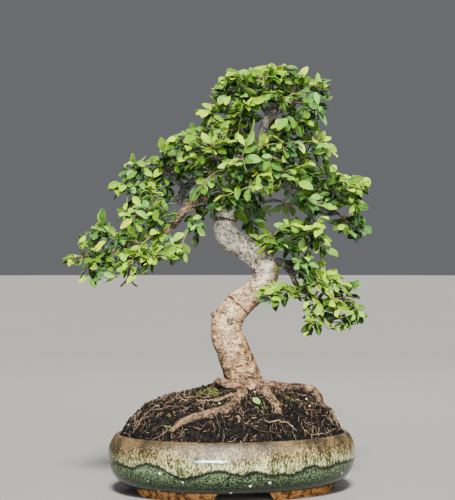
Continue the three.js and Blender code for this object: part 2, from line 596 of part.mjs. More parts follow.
const bonsai = new THREE.Group();
bonsai.add(meshOf("pot", potBody(), COLOURS.glaze, 0.25));
bonsai.add(meshOf("soil", soilBody(paths), COLOURS.soil, 0.95));
[[-1, "drain_screen_left"], [1, "drain_screen_right"]].forEach(([side, name]) => {
  const screen = meshOf(name, screenBody(), COLOURS.screen, 0.6);
  screen.position.set((side * DRAIN_HOLE.spacing) / 2, 0, FLOOR_TOP + CLEARANCE);
  bonsai.add(screen);
});
bonsai.add(meshOf("fallen_leaf", fallenLeaf(FALLEN_LEAF), COLOURS.youngLeaf, 0.5));

const tree = new THREE.Group();
tree.rotation.z = -FRONT_TURN;
tree.add(meshOf("tree_wood", woodBody(paths, sprays), COLOURS.bark, 0.85));
sprays.forEach((spray) => {
  const name = `spray_${String(spray.index + 1).padStart(2, "0")}`;
  const colour = spray.index % YOUNG_EVERY ? COLOURS.leaf : COLOURS.youngLeaf;
  tree.add(meshOf(name, sprayBody(spray), colour, 0.5));
});
bonsai.add(tree);

// The origin is the middle of the whole plant's outline, on the surface that the feet stand on.
bonsai.updateMatrixWorld(true);
const outline = new THREE.Box3().setFromObject(bonsai, true);
const middle = outline.getCenter(new THREE.Vector3());
bonsai.position.set(-middle.x, -middle.y, -outline.min.z);

export default bonsai;
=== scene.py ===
"""A Chinese elm bonsai in an oval glazed pot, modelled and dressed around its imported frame.

Shapes are drawn in millimetres about the middle of the pot and become metres when a piece is placed. The
tree is drawn from its own front, (right, back, up), which is turned a little from the front of the pot.
"""

import logging
import math
from dataclasses import dataclass, field
from enum import Enum
from typing import Callable, ClassVar, Iterable, Sequence, Union

import bmesh
import bpy
import numpy as np
from mathutils import Matrix, Vector, noise
from mathutils.kdtree import KDTree


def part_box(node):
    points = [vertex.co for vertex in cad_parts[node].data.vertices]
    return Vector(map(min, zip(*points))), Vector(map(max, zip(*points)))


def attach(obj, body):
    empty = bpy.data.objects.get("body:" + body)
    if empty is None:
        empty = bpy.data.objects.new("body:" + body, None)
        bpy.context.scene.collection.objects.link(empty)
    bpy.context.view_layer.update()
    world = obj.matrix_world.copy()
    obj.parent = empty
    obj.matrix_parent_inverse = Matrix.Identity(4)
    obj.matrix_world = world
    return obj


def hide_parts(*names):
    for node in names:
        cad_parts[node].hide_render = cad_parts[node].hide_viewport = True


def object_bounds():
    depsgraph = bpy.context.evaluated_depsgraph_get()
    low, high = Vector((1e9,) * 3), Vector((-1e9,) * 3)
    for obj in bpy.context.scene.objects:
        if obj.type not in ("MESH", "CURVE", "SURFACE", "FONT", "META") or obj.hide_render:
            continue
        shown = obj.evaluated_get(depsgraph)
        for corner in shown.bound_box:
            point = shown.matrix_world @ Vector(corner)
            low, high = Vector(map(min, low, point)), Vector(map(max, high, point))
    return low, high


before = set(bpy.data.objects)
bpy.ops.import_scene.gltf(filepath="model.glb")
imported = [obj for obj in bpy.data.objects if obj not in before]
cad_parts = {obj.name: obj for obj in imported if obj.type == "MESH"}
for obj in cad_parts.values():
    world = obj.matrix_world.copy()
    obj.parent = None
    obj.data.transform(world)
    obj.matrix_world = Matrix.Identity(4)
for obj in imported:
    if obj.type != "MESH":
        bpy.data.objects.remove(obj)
FRAME_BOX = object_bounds()
LOG = logging.getLogger("bonsai")

BMesh = bmesh.types.BMesh
Mesh = bpy.types.Mesh
Material = bpy.types.Material
Row = tuple[float, ...]
Pair = tuple[float, float]
Line = tuple[Pair, ...]
Colour = tuple[float, float, float]
Tones = tuple[Colour, Colour, Colour]
Ramp = tuple[tuple[float, Colour], ...]

# Trunk: (right, back, up, radius) from under the soil, through the S, to the top of the leader.
TRUNK: tuple[Row, ...] = (
    (15, 0, 74, 15), (14, 0, 92, 20), (12, 0, 108, 18.8), (6.5, -1, 124, 17.2), (0.5, -2, 140, 16.8),
    (-5.5, -3, 156, 15.8), (-4, -2, 171, 15.2), (6.5, 0, 185, 13.6), (19, 3, 195, 12), (29.5, 5, 206, 12),
    (33.5, 5, 219, 13.2), (24, 4, 233.5, 12), (10.5, 1, 243.5, 11.5), (-2.5, -2, 252, 12),
    (-8.5, -3, 264, 11), (-6.5, -2, 280, 9.4), (1.5, 1, 295, 7.8), (13, 4, 311, 6.6), (21.5, 6, 329, 5.8),
    (27.5, 6, 347, 5), (32.5, 4, 365, 4.3), (38, 1, 382, 3.4), (42, -2, 396, 2.4),
)

# Surface roots, (right, back, up, radius). Each starts inside the trunk's foot and ends under the soil.
ROOTS: dict[str, tuple[Row, ...]] = {
    "front_right": (
        (18, -4, 106, 7.5), (28, -15, 103, 6.6), (35, -28, 96, 5.6), (41, -38, 89, 4.8), (44.5, -45, 81, 3.9),
        (46, -49, 70, 2.4),
    ),
    "front_left": (
        (12, -8, 96, 5), (9, -30, 99, 5.2), (4, -45, 92.5, 5.6), (-4, -53, 86.5, 5), (-22, -58, 82.5, 4.4),
        (-44, -62, 77.5, 3.6), (-60, -65, 66.5, 2.7),
    ),
    "fork": ((3, -46, 89, 3.4), (3, -55, 84, 2.4), (8, -62, 74, 1.5)),
    "left": (
        (16, -12, 103, 4.6), (-1, -19, 106, 4.2), (-11, -15, 110, 3.8), (-17, -8, 108, 3.2),
        (-21, 2, 92, 2.2),
    ),
    "right": (
        (20, 2, 105, 6), (36, 3, 105, 4.6), (52, 5, 103.5, 4.1), (67, 6, 102, 3.9), (78, 5, 100.5, 3.8),
        (86, 3, 94, 3.3), (93, 0, 78, 2),
    ),
    "right_edge": ((84, 2, 92, 2), (91, -4, 84.5, 1.7), (99, -5, 80, 1.6), (104, -7, 64, 1.2)),
    "thin": ((18, -20, 98, 2.2), (0, -36, 98.5, 1.8), (-14, -42, 95.5, 1.6), (-34, -47, 91, 1.4)),
    "back_right": ((18, 6, 104, 6.5), (26, 22, 101, 5.2), (38, 38, 96, 4.2), (50, 54, 80, 2.4)),
    "back_left": (
        (6, 6, 100, 6.5), (-10, 20, 98, 4.6), (-30, 32, 93.5, 3.8), (-52, 40, 87, 3), (-66, 43, 77, 2),
    ),
}

# Branches, (right, back, up, radius). Each starts inside the wood that carries it.
BRANCHES: dict[str, tuple[Row, ...]] = {
    "low_left": (
        (-4, -2, 280, 6), (-16, -6, 288, 5.2), (-32, -10, 291, 4.6), (-45, -15, 282, 4.2), (-58, -19, 266, 4),
        (-70, -22, 256, 3.4), (-88, -24, 251, 2.8), (-108, -24, 243, 2.2), (-128, -24, 234, 1.7),
    ),
    "high_left": (
        (12, 5, 309, 5.6), (-4, 12, 318, 5), (-24, 20, 320, 4.4), (-40, 25, 310, 4.2), (-51, 27, 298, 4.4),
        (-56, 27, 287, 4.6),
    ),
    "high_left_fork": (
        (-48, 27, 302, 3.6), (-59, 25, 313, 3.2), (-73, 22, 319, 2.7), (-88, 18, 313, 2.2),
        (-100, 15, 303, 1.6),
    ),
    "right": (
        (20, 5, 325, 5.6), (38, 8, 318, 5), (55, 10, 305, 4.8), (73, 12, 290, 4.8), (90, 12, 280, 4.6),
        (104, 10, 279, 4.4),
    ),
    "right_fork": ((98, 10, 280, 3), (110, 6, 286, 2.4), (118, 2, 294, 1.6)),
    "low_right": (
        (34, 5, 219, 6), (47, 3, 228, 4.4), (58, 0, 219, 3.6), (64, -4, 206, 3.2), (76, -8, 196, 2.9),
        (92, -10, 186, 2.6), (108, -10, 174, 2.8), (116, -10, 164, 3.2),
    ),
    "mid_right": (
        (30, 6, 222, 5), (40, 10, 238, 3.4), (52, 8, 247, 2.7), (66, 2, 250, 2.1), (78, -4, 246, 1.5),
    ),
    "back": ((-4, 0, 268, 6), (4, 20, 276, 4.4), (16, 38, 284, 3.4), (32, 52, 290, 2.4), (46, 60, 292, 1.6)),
    "back_high": ((21, 6, 326, 4.8), (14, 24, 336, 3.6), (4, 38, 342, 2.6), (-12, 46, 340, 1.7)),
    "front": ((2, 0, 294, 5.4), (-2, -14, 306, 4), (-6, -26, 316, 3), (-14, -34, 322, 2)),
    "front_right": ((12, 4, 310, 4.8), (18, -10, 318, 3.6), (28, -22, 322, 2.7), (40, -28, 320, 1.8)),
    "crown_left": ((27, 6, 344, 3.8), (16, 0, 358, 3), (4, -4, 370, 2.4), (-10, -6, 380, 1.6)),
    "crown_right": (
        (34, 4, 368, 3.8), (46, 5, 380, 3.4), (60, 4, 388, 2.6), (80, 2, 392, 1.8), (101, 2, 393, 1),
    ),
    "crown_low": ((27, 6, 346, 3.8), (42, 4, 356, 3), (58, 0, 358, 2.3), (74, -2, 354, 1.6)),
    "crown_back": ((30, 6, 356, 3.4), (34, 20, 370, 2.6), (36, 30, 382, 1.8)),
    "dead_fork": ((-98, -24, 247, 1.9), (-100, -28, 228, 1.5), (-103, -30, 212, 1.1), (-110, -30, 204, 0.9)),
    "dead_twig": ((-102, -30, 213, 1.1), (-97, -31, 207, 0.9), (-93, -31, 204, 0.8)),
    "nub": ((-8, -2, 170, 3.4), (-15, -6, 174, 3), (-21, -9, 177, 2)),
}
DEAD_TWIGS = ("dead_fork", "dead_twig")
BARE_BRANCHES = (*DEAD_TWIGS, "nub")

# What every point of the wood's skin carries: how thick the wood is, how warm its bark is, which on the
# trunk's sides is painted shade, how creased it is.
CARRIED = ("thick", "warm", "crease")

# Sprays: the branch, how far along it, the end of the spray's twig, (right, back, up), and of a side shoot.
SPRAYS: tuple[tuple, ...] = (
    ("trunk", 0.985, (40, -6, 414)), ("crown_right", 0.4, (66, -4, 411)),
    ("crown_left", 0.9, (-3, -10, 406), (15, -16, 410)), ("crown_left", 0.98, (-23, -3, 377)),
    ("crown_right", 0.74, (86, 0, 404)), ("crown_right", 0.6, (84, -14, 378)),
    ("crown_left", 0.55, (14, -34, 383)), ("crown_right", 0.22, (48, -30, 388)),
    ("crown_back", 0.8, (16, 34, 402)), ("crown_back", 0.9, (62, 38, 394)),
    ("crown_left", 0.2, (-9, -22, 358)), ("crown_low", 0.6, (64, -28, 364)),
    ("crown_low", 0.95, (92, 0, 346)), ("crown_low", 0.35, (50, -34, 338)),
    ("back_high", 0.3, (44, 44, 348)), ("back_high", 0.8, (2, 56, 362)),
    ("high_left", 0.4, (-34, 0, 354), (-54, -8, 348)), ("high_left_fork", 0.35, (-68, 4, 340)),
    ("high_left", 0.55, (-52, -14, 324)), ("high_left_fork", 0.8, (-98, 14, 324)),
    ("high_left_fork", 0.97, (-110, 6, 303)), ("high_left_fork", 0.7, (-90, 4, 290)),
    ("high_left_fork", 0.5, (-76, 48, 320)), ("high_left", 0.5, (-40, 54, 330)),
    ("front", 0.95, (-22, -44, 342)), ("front", 0.7, (10, -48, 328)), ("front", 0.85, (-32, -38, 302)),
    ("front_right", 0.4, (16, -44, 300)), ("front", 0.35, (-18, -30, 284), (2, -38, 288)),
    ("front_right", 0.9, (50, -40, 310)), ("trunk", 0.84, (32, -32, 342)), ("back", 0.6, (18, 62, 268)),
    ("back", 0.95, (62, 66, 286)), ("back_high", 0.95, (-20, 66, 322)), ("right", 0.35, (70, -16, 324)),
    ("right", 0.75, (98, -4, 316), (114, -16, 308)), ("right_fork", 0.9, (126, 2, 303)),
    ("right", 0.97, (118, -2, 264)), ("right", 0.6, (76, -14, 286)), ("right", 0.7, (96, 40, 300)),
    ("right_fork", 0.5, (122, -16, 284)), ("mid_right", 0.45, (38, -18, 250), (56, -20, 266)),
    ("mid_right", 0.8, (82, -14, 262), (92, -10, 242)), ("low_right", 0.35, (70, -22, 228)),
    ("low_right", 0.5, (38, -22, 193)), ("low_right", 0.62, (94, -10, 212), (88, 26, 210)),
    ("low_right", 0.8, (118, -4, 200), (98, -26, 192)), ("low_right", 0.97, (124, -10, 180)),
    ("low_right", 0.72, (80, -18, 168)), ("low_left", 0.98, (-158, -26, 230), (-140, -36, 216)),
    ("low_left", 0.85, (-132, -14, 258)), ("low_left", 0.7, (-100, -38, 226), (-78, -40, 232)),
    ("low_left", 0.62, (-78, -24, 280), (-106, -14, 274)),
    ("low_left", 0.3, (-36, -14, 256), (-52, -30, 240)),
)

# Thin roots on the soil, in the photograph's pixels, each from where it leaves the soil to where it ends.
ROOTLETS: tuple[Line, ...] = (
    ((175, 398), (163.6, 400), (152, 404), (142, 412.5), (134, 422), (119.6, 433.7)),
    ((202, 401), (183, 399), (167, 403), (154, 409), (144, 417), (139, 427), (126, 436)),
    ((189.6, 408.5), (173, 407.7), (158.7, 411), (150.5, 416), (142, 422), (137.5, 430)),
    ((170, 426), (165, 433), (158.7, 437.7), (149, 441)),
    ((213, 420.7), (209, 423), (202.6, 427), (197.7, 432.9)),
    ((238.4, 416.6), (244.9, 423.9), (254.7, 428.8), (264.4, 432.9), (277.4, 432.9), (284, 431)),
    ((300, 424), (306.7, 432.9), (316.5, 434.5), (327.9, 432.9), (339.3, 428), (344, 426)),
    ((310, 404.4), (312.4, 412.5), (310.8, 420.7), (312.4, 428.8)),
    ((330, 407.7), (332.8, 412.5), (334.4, 419), (337.6, 424)),
    ((260, 418), (268, 422), (279, 421), (290, 425), (298, 432)),
    ((244, 396), (229, 399), (214, 401.5), (201, 402), (188, 399.5), (176, 400)),
)

# Fine roots that stand clear of the mound's outline, from their foot to their tip.
STANDING_ROOTS: tuple[Line, ...] = (
    ((332, 421), (336.5, 416.5), (340, 412), (341, 408.5)),
    ((334, 426), (338, 422.5), (340.5, 420.5), (342.5, 420)),
    ((337, 431), (341, 428), (344.5, 426.5), (348, 425.5)),
    ((328, 417), (331.5, 413), (333, 410.5), (333.5, 408)),
    ((136, 424), (134.5, 419.5), (134.5, 416.5), (135.5, 414.5)),
    ((189, 398), (189.5, 393), (190.5, 390.5), (190, 388.5)),
    ((176, 400), (177, 395), (177, 392.5), (178.5, 391)),
)

# Where the dark edge of the poured glaze runs across the front of the pot, in the photograph's pixels.
GLAZE_EDGE: Line = (
    (117, 463), (131, 468), (147, 463.5), (160, 468), (172, 475), (181, 479.5), (195, 477), (210, 473),
    (221, 471), (232, 474), (243, 476), (255, 472), (262, 473), (272, 477), (283, 474), (290, 476),
    (297, 473), (306, 468), (314, 465.5), (322, 468), (330, 467), (337, 463), (345, 462),
)

# The foliage's outline in the photograph's pixels: the crown with the low left limb, and the low right limb.
FOLIAGE_OUTLINE: tuple[Line, ...] = (
    (
        (212, 104), (207, 86), (222, 81), (221, 75), (226, 69), (253, 67), (268, 60), (277, 62), (290, 65),
        (301, 64), (308, 77), (323, 78), (335, 79), (327, 90), (338, 97), (320, 105), (328, 119),
        (321, 122), (322, 131), (315, 132), (317, 140), (335, 145), (331, 150), (344, 159), (328, 162),
        (338, 171), (344, 170), (350, 179), (374, 178), (373, 193), (362, 194), (365, 208), (361, 217),
        (371, 223), (373, 236), (361, 236), (360, 246), (350, 244), (348, 237), (338, 236), (328, 222),
        (318, 213), (303, 216), (297, 206), (293, 197), (290, 204), (284, 212), (272, 214), (262, 228),
        (254, 241), (239, 228), (236, 212), (213, 214), (207, 206), (207, 222), (203, 241), (195, 235),
        (187, 228), (186, 214), (176, 230), (176, 240), (183, 243), (190, 263), (162, 262), (153, 274),
        (139, 276), (130, 285), (124, 277), (110, 282), (104, 279), (95, 287), (85, 284), (97, 275),
        (75, 265), (59, 275), (58, 269), (70, 263), (57, 257), (57, 253), (88, 258), (87, 249), (75, 245),
        (75, 236), (88, 230), (97, 222), (97, 211), (107, 205), (107, 222), (118, 229), (124, 226),
        (117, 212), (118, 206), (131, 200), (132, 195), (110, 193), (104, 188), (108, 183), (124, 184),
        (117, 175), (125, 162), (140, 161), (152, 156), (163, 156), (155, 150), (160, 142), (176, 133),
        (177, 128), (199, 127), (203, 120), (220, 118), (196, 116), (195, 108), (216, 109),
    ),
    (
        (260, 236), (268, 235), (275, 232), (274, 222), (280, 218), (307, 218), (309, 213), (316, 212),
        (318, 220), (330, 219), (322, 226), (325, 238), (338, 248), (322, 244), (322, 252), (312, 258),
        (326, 262), (328, 270), (341, 275), (347, 281), (362, 280), (363, 288), (350, 291), (350, 300),
        (367, 305), (353, 310), (368, 314), (363, 325), (351, 325), (352, 331), (343, 335), (324, 325),
        (318, 339), (315, 325), (308, 341), (303, 338), (300, 330), (304, 314), (298, 298), (284, 300),
        (272, 309), (262, 300), (252, 299), (254, 290), (264, 284), (284, 279), (296, 284), (290, 264),
        (276, 276), (271, 270), (283, 266), (283, 252), (256, 255), (251, 250), (254, 242),
    ),
)

# Openings in the foliage through which wood shows, and how far back they are kept clear of leaves.
OPENINGS: tuple[tuple[float, Line], ...] = (
    (24, ((162, 164), (168, 164), (183, 182), (195, 170), (207, 162), (210, 174), (188, 196), (184, 209),
          (169, 210), (174, 190))),
    (-12, ((207, 194), (207, 203), (196, 208), (184, 226), (168, 236), (160, 232), (172, 225), (178, 214),
         (190, 203))),
    (6, ((262, 104), (272, 110), (290, 102), (302, 98), (300, 107), (277, 120), (270, 123), (264, 140),
    (256, 144),
         (254, 124), (261, 120))),
    (10, ((281, 176), (299, 186), (296, 193), (279, 182))),
    (10, ((314, 206), (330, 211), (346, 203), (352, 214), (345, 221), (325, 217))),
    (0, ((285, 258), (292, 258), (299, 286), (291, 286))),
    (60, ((262, 200), (278, 192), (297, 194), (296, 214), (268, 226))),
)

SEED = 20260
SEED_STEP = 7919
DRAW_FACTOR = 1664525
DRAW_STEP = 1013904223
DRAW_RANGE = 2 ** 32
# A direction that no limb follows, from which the sections of a tube and of a box are turned.
ASLANT = (0.31, 0.87, -0.39)
# How many boxes the foliage has room for.
ROOM = 12000
# How far the foliage keeps inside the frame's box, in millimetres.
MARGIN = 0.05


@dataclass
class Dice:
    """A seeded draw of even numbers from 0 to 1, the same as the one that laid out the frame's sprays."""

    state: int

    def __post_init__(self) -> None:
        """Passes over the first two numbers."""
        self.next()
        self.next()

    def next(self) -> float:
        """Returns the next number from 0 to 1."""
        self.state = (self.state * DRAW_FACTOR + DRAW_STEP) % DRAW_RANGE
        return self.state / DRAW_RANGE

    def between(self, limits: Sequence[float]) -> float:
        """Returns a number between two limits."""
        return limits[0] + (limits[1] - limits[0]) * self.next()

    def around(self, spread: float) -> float:
        """Returns a number from minus to plus a spread."""
        return spread * (2 * self.next() - 1)

    def bend(self, spread: float) -> np.ndarray:
        """Returns a vector whose three parts are each drawn around nought."""
        return np.array([self.around(spread) for _ in range(3)])


def unit(vector: np.ndarray) -> np.ndarray:
    """Returns a vector's direction."""
    return vector / np.linalg.norm(vector)


def cross(first: np.ndarray, second: np.ndarray) -> np.ndarray:
    """Returns the cross product of two single vectors."""
    return np.array([
        first[1] * second[2] - first[2] * second[1],
        first[2] * second[0] - first[0] * second[2],
        first[0] * second[1] - first[1] * second[0],
    ])


@dataclass
class Path:
    """The frame's own smooth path through rows of (right, back, up) and, for a limb, its radius."""

    rows: Sequence[Row]

    def __post_init__(self) -> None:
        """Keeps the rows as one array."""
        self.rows = np.array(self.rows, float)

    def point(self, share: float) -> np.ndarray:
        """Returns the point at a share of the rows, by a uniform Catmull-Rom curve.

        Args:
            share: How far along the rows, from 0 to 1.

        Returns:
            The point.
        """
        places = self.rows[:, :3]
        last = len(places) - 1
        row = min(int(share * last), last - 1)
        along = share * last - row
        start, end = places[row], places[row + 1]
        before = places[row - 1] if row > 0 else 2 * start - end
        after = places[row + 2] if row + 2 <= last else 2 * end - start
        leave, arrive = 0.5 * (end - before), 0.5 * (after - start)
        square, cube = along * along, along ** 3
        return (start + leave * along + (3 * (end - start) - 2 * leave - arrive) * square
                + (2 * (start - end) + leave + arrive) * cube)

    def radius(self, share: float) -> float:
        """Returns the radius at a share of the rows."""
        place = share * (len(self.rows) - 1)
        return float(np.interp(place, np.arange(len(self.rows)), self.rows[:, 3]))

    def evenly(self, steps: int) -> list[np.ndarray]:
        """Returns the points at even shares of the rows, with a number of steps between the ends."""
        return [self.point(step / steps) for step in range(steps + 1)]

    def samples(self, step: float) -> tuple[list[np.ndarray], list[float]]:
        """Returns points about a step apart in millimetres, and the radius at each.

        Args:
            step: The distance between points, in millimetres.

        Returns:
            The points and the radii.
        """
        length = np.linalg.norm(np.diff(self.rows[:, :3], axis=0), axis=1).sum()
        count = max(3, math.ceil(length / step))
        return self.evenly(count), [self.radius(index / count) for index in range(count + 1)]


@dataclass(frozen=True)
class PhotoView:
    """How the photograph looks at the plant, level and from far off, in pixels and millimetres."""

    width: int = 455
    height: int = 500
    focal: float = 1400.0
    distance: float = 1400.0
    eye_up: float = 240.0
    eye_right: float = -5.0
    turn: float = math.radians(-9.0)
    search_before: float = 160.0
    search_step: float = 2.0
    search_steps: int = 170
    halvings: int = 8

    def turned(self, vector: Vector) -> Vector:
        """Returns a vector seen from the tree's front as the pot's own frame has it."""
        return Matrix.Rotation(self.turn, 3, "Z") @ vector

    def eye(self) -> Vector:
        """Returns where the photograph is taken from, about the middle of the pot."""
        return self.turned(Vector((self.eye_right, -self.distance, self.eye_up)))

    def ray(self, pixel: Pair) -> Vector:
        """Returns the direction in which a pixel looks.

        Args:
            pixel: The column and the row.

        Returns:
            The direction, of length 1.
        """
        right = (pixel[0] - self.width / 2) / self.focal
        down = (pixel[1] - self.height / 2) / self.focal
        return self.turned(Vector((right, 1.0, -down))).normalized()

    def pixels(self, places: np.ndarray) -> np.ndarray:
        """Returns the columns and rows of the pixels at which the photograph shows places of the tree.

        Args:
            places: Places, one in each row.

        Returns:
            A column and a row for each place.
        """
        depth = places[..., 1] + self.distance
        column = self.width / 2 + self.focal * (places[..., 0] - self.eye_right) / depth
        row = self.height / 2 - self.focal * (places[..., 2] - self.eye_up) / depth
        return np.stack([column, row], axis=-1).astype(int)

    def first_inside(self, pixel: Pair, inside: Callable[[Vector], bool]) -> Union[Vector, None]:
        """Walks along a pixel's line of sight until it meets a body.

        Args:
            pixel: The place in the photograph.
            inside: Says whether a point lies in the body.

        Returns:
            The point where the line enters the body, or None where it passes.
        """
        eye, ray = self.eye(), self.ray(pixel)
        near = self.distance - self.search_before
        reaches = (near + self.search_step * step for step in range(self.search_steps))
        high = next((reach for reach in reaches if inside(eye + ray * reach)), None)
        if high is None:
            return None
        low = high - self.search_step
        for _ in range(self.halvings):
            middle = 0.5 * (low + high)
            if inside(eye + ray * middle):
                high = middle
            else:
                low = middle
        return eye + ray * high


VIEW = PhotoView()


@dataclass(frozen=True)
class Setting:
    """Where the pot's middle is in the frame, and how the tree is turned on it."""

    middle: Vector
    turn: float

    def pot(self) -> Matrix:
        """Returns the placing of what is drawn about the pot, from millimetres to metres."""
        return Matrix.Translation(self.middle) @ Matrix.Scale(0.001, 4)

    def tree(self) -> Matrix:
        """Returns the placing of what is drawn from the tree's front, from millimetres to metres."""
        return self.pot() @ Matrix.Rotation(self.turn, 4, "Z")


Number = Union["Value", float]


@dataclass
class Value:
    """A shader socket on which arithmetic adds Math nodes."""

    shader: "Shader"
    socket: bpy.types.NodeSocket

    def _maths(self, operation: str, first: Number, second: Number) -> "Value":
        """Adds one Math node and returns its value."""
        return self.shader.node("ShaderNodeMath", {"operation": operation}, {0: first, 1: second})

    def __add__(self, other: Number) -> "Value":
        """Returns the sum."""
        return self._maths("ADD", self, other)

    def __radd__(self, other: Number) -> "Value":
        """Returns the sum, from the right."""
        return self._maths("ADD", other, self)

    def __sub__(self, other: Number) -> "Value":
        """Returns the difference."""
        return self._maths("SUBTRACT", self, other)

    def __rsub__(self, other: Number) -> "Value":
        """Returns the difference, from the right."""
        return self._maths("SUBTRACT", other, self)

    def __mul__(self, other: Number) -> "Value":
        """Returns the product."""
        return self._maths("MULTIPLY", self, other)

    def __rmul__(self, other: Number) -> "Value":
        """Returns the product, from the right."""
        return self._maths("MULTIPLY", other, self)

    def size(self) -> "Value":
        """Returns the value without its sign."""
        return self._maths("ABSOLUTE", self, 0.0)

    def rest(self, whole: float) -> "Value":
        """Returns what is left after whole steps."""
        return self._maths("FLOORED_MODULO", self, whole)


class Shader:
    """A material under construction, with its Principled BSDF."""

    def __init__(self, name: str, **constants: float) -> None:
        """Starts a material.

        Args:
            name: The material's name.
            constants: Values for the shader's own sockets, with underscores for spaces.
        """
        self.material = bpy.data.materials.new(name)
        self.material.use_nodes = True
        self.tree = self.material.node_tree
        self.surface = self.tree.nodes["Principled BSDF"]
        for words, value in constants.items():
            self.surface.inputs[words.replace("_", " ").title().replace("Ior", "IOR")].default_value = value

    def node(self, kind: str, settings: dict, inputs: dict, output: Union[int, str] = 0) -> Value:
        """Adds any node.

        Args:
            kind: The node's type.
            settings: What is set on the node itself; "stops" are a ramp's places and colours.
            inputs: Values or links for its sockets, by name or number.
            output: The socket that is returned.

        Returns:
            The chosen output.
        """
        made = self.tree.nodes.new(kind)
        for name, setting in settings.items():
            if name == "stops":
                self._set_stops(made.color_ramp, setting)
            else:
                setattr(made, name, setting)
        for name, value in inputs.items():
            if isinstance(value, Value):
                self.tree.links.new(value.socket, made.inputs[name])
            else:
                made.inputs[name].default_value = value
        return Value(self, made.outputs[output])

    @staticmethod
    def _set_stops(ramp: bpy.types.ColorRamp, stops: Sequence[tuple[float, Colour]]) -> None:
        """Sets a ramp's stops, from the lowest up."""
        while len(ramp.elements) < len(stops):
            ramp.elements.new(1.0)
        for element, (place, colour) in zip(ramp.elements, stops):
            element.position = place
            element.color = (*colour, 1.0)

    def place(self, stretch: Colour = (1.0, 1.0, 1.0)) -> Value:
        """Returns the place on the object, in metres, stretched along its axes.

        Args:
            stretch: The factor for each axis.

        Returns:
            The place.
        """
        where = self.node("ShaderNodeTexCoord", {}, {}, "Object")
        if stretch == (1.0, 1.0, 1.0):
            return where
        return self.node("ShaderNodeMapping", {"vector_type": "POINT"}, {"Vector": where, "Scale": stretch})

    def part(self, where: Value, axis: str) -> Value:
        """Returns one part of a vector."""
        return self.node("ShaderNodeSeparateXYZ", {}, {"Vector": where}, axis)

    def attribute(self, name: str) -> Value:
        """Returns a number that the mesh carries."""
        return self.node("ShaderNodeAttribute", {"attribute_name": name}, {}, "Fac")

    def noise(self, where: Value, size: float, detail: float = 3.0, rough: float = 0.55) -> Value:
        """Returns noise from 0 to 1 whose features are about a size in metres across."""
        inputs = {"Vector": where, "Scale": 1.0 / size, "Detail": detail, "Roughness": rough}
        return self.node("ShaderNodeTexNoise", {}, inputs, "Fac")

    def cells(self, where: Value, size: float) -> Value:
        """Returns a pattern of cells that are about a size in metres across."""
        return self.node("ShaderNodeTexVoronoi", {}, {"Vector": where, "Scale": 1.0 / size}, "Distance")

    def between(self, value: Value, low: float, high: float) -> Value:
        """Returns 0 below the low limit, 1 above the high one, and an eased step between them."""
        settings = {"interpolation_type": "SMOOTHSTEP"}
        return self.node("ShaderNodeMapRange", settings, {"Value": value, "From Min": low, "From Max": high})

    def ramp(self, value: Value, stops: Sequence[tuple[float, Colour]]) -> Value:
        """Returns the colour of a ramp at a value."""
        return self.node("ShaderNodeValToRGB", {"stops": stops}, {"Fac": value}, "Color")

    def mix(self, share: Value, first: Union[Value, Colour], second: Union[Value, Colour]) -> Value:
        """Returns the first colour at share 0 and the second at 1."""
        colours = [value if isinstance(value, Value) else (*value, 1.0) for value in (first, second)]
        return self.node("ShaderNodeMix", {"data_type": "RGBA"}, {0: share, 6: colours[0], 7: colours[1]}, 2)

    def bump(self, height: Value, depth: float, strength: float) -> Value:
        """Returns a normal for relief of a depth in metres."""
        return self.node("ShaderNodeBump", {}, {"Height": height, "Distance": depth, "Strength": strength})

    def finish(self, **links: Value) -> Material:
        """Joins values to the shader's sockets.

        Args:
            links: A value for each socket, with underscores for spaces.

        Returns:
            The finished material.
        """
        for words, value in links.items():
            self.tree.links.new(value.socket, self.surface.inputs[words.replace("_", " ").title()])
        return self.material


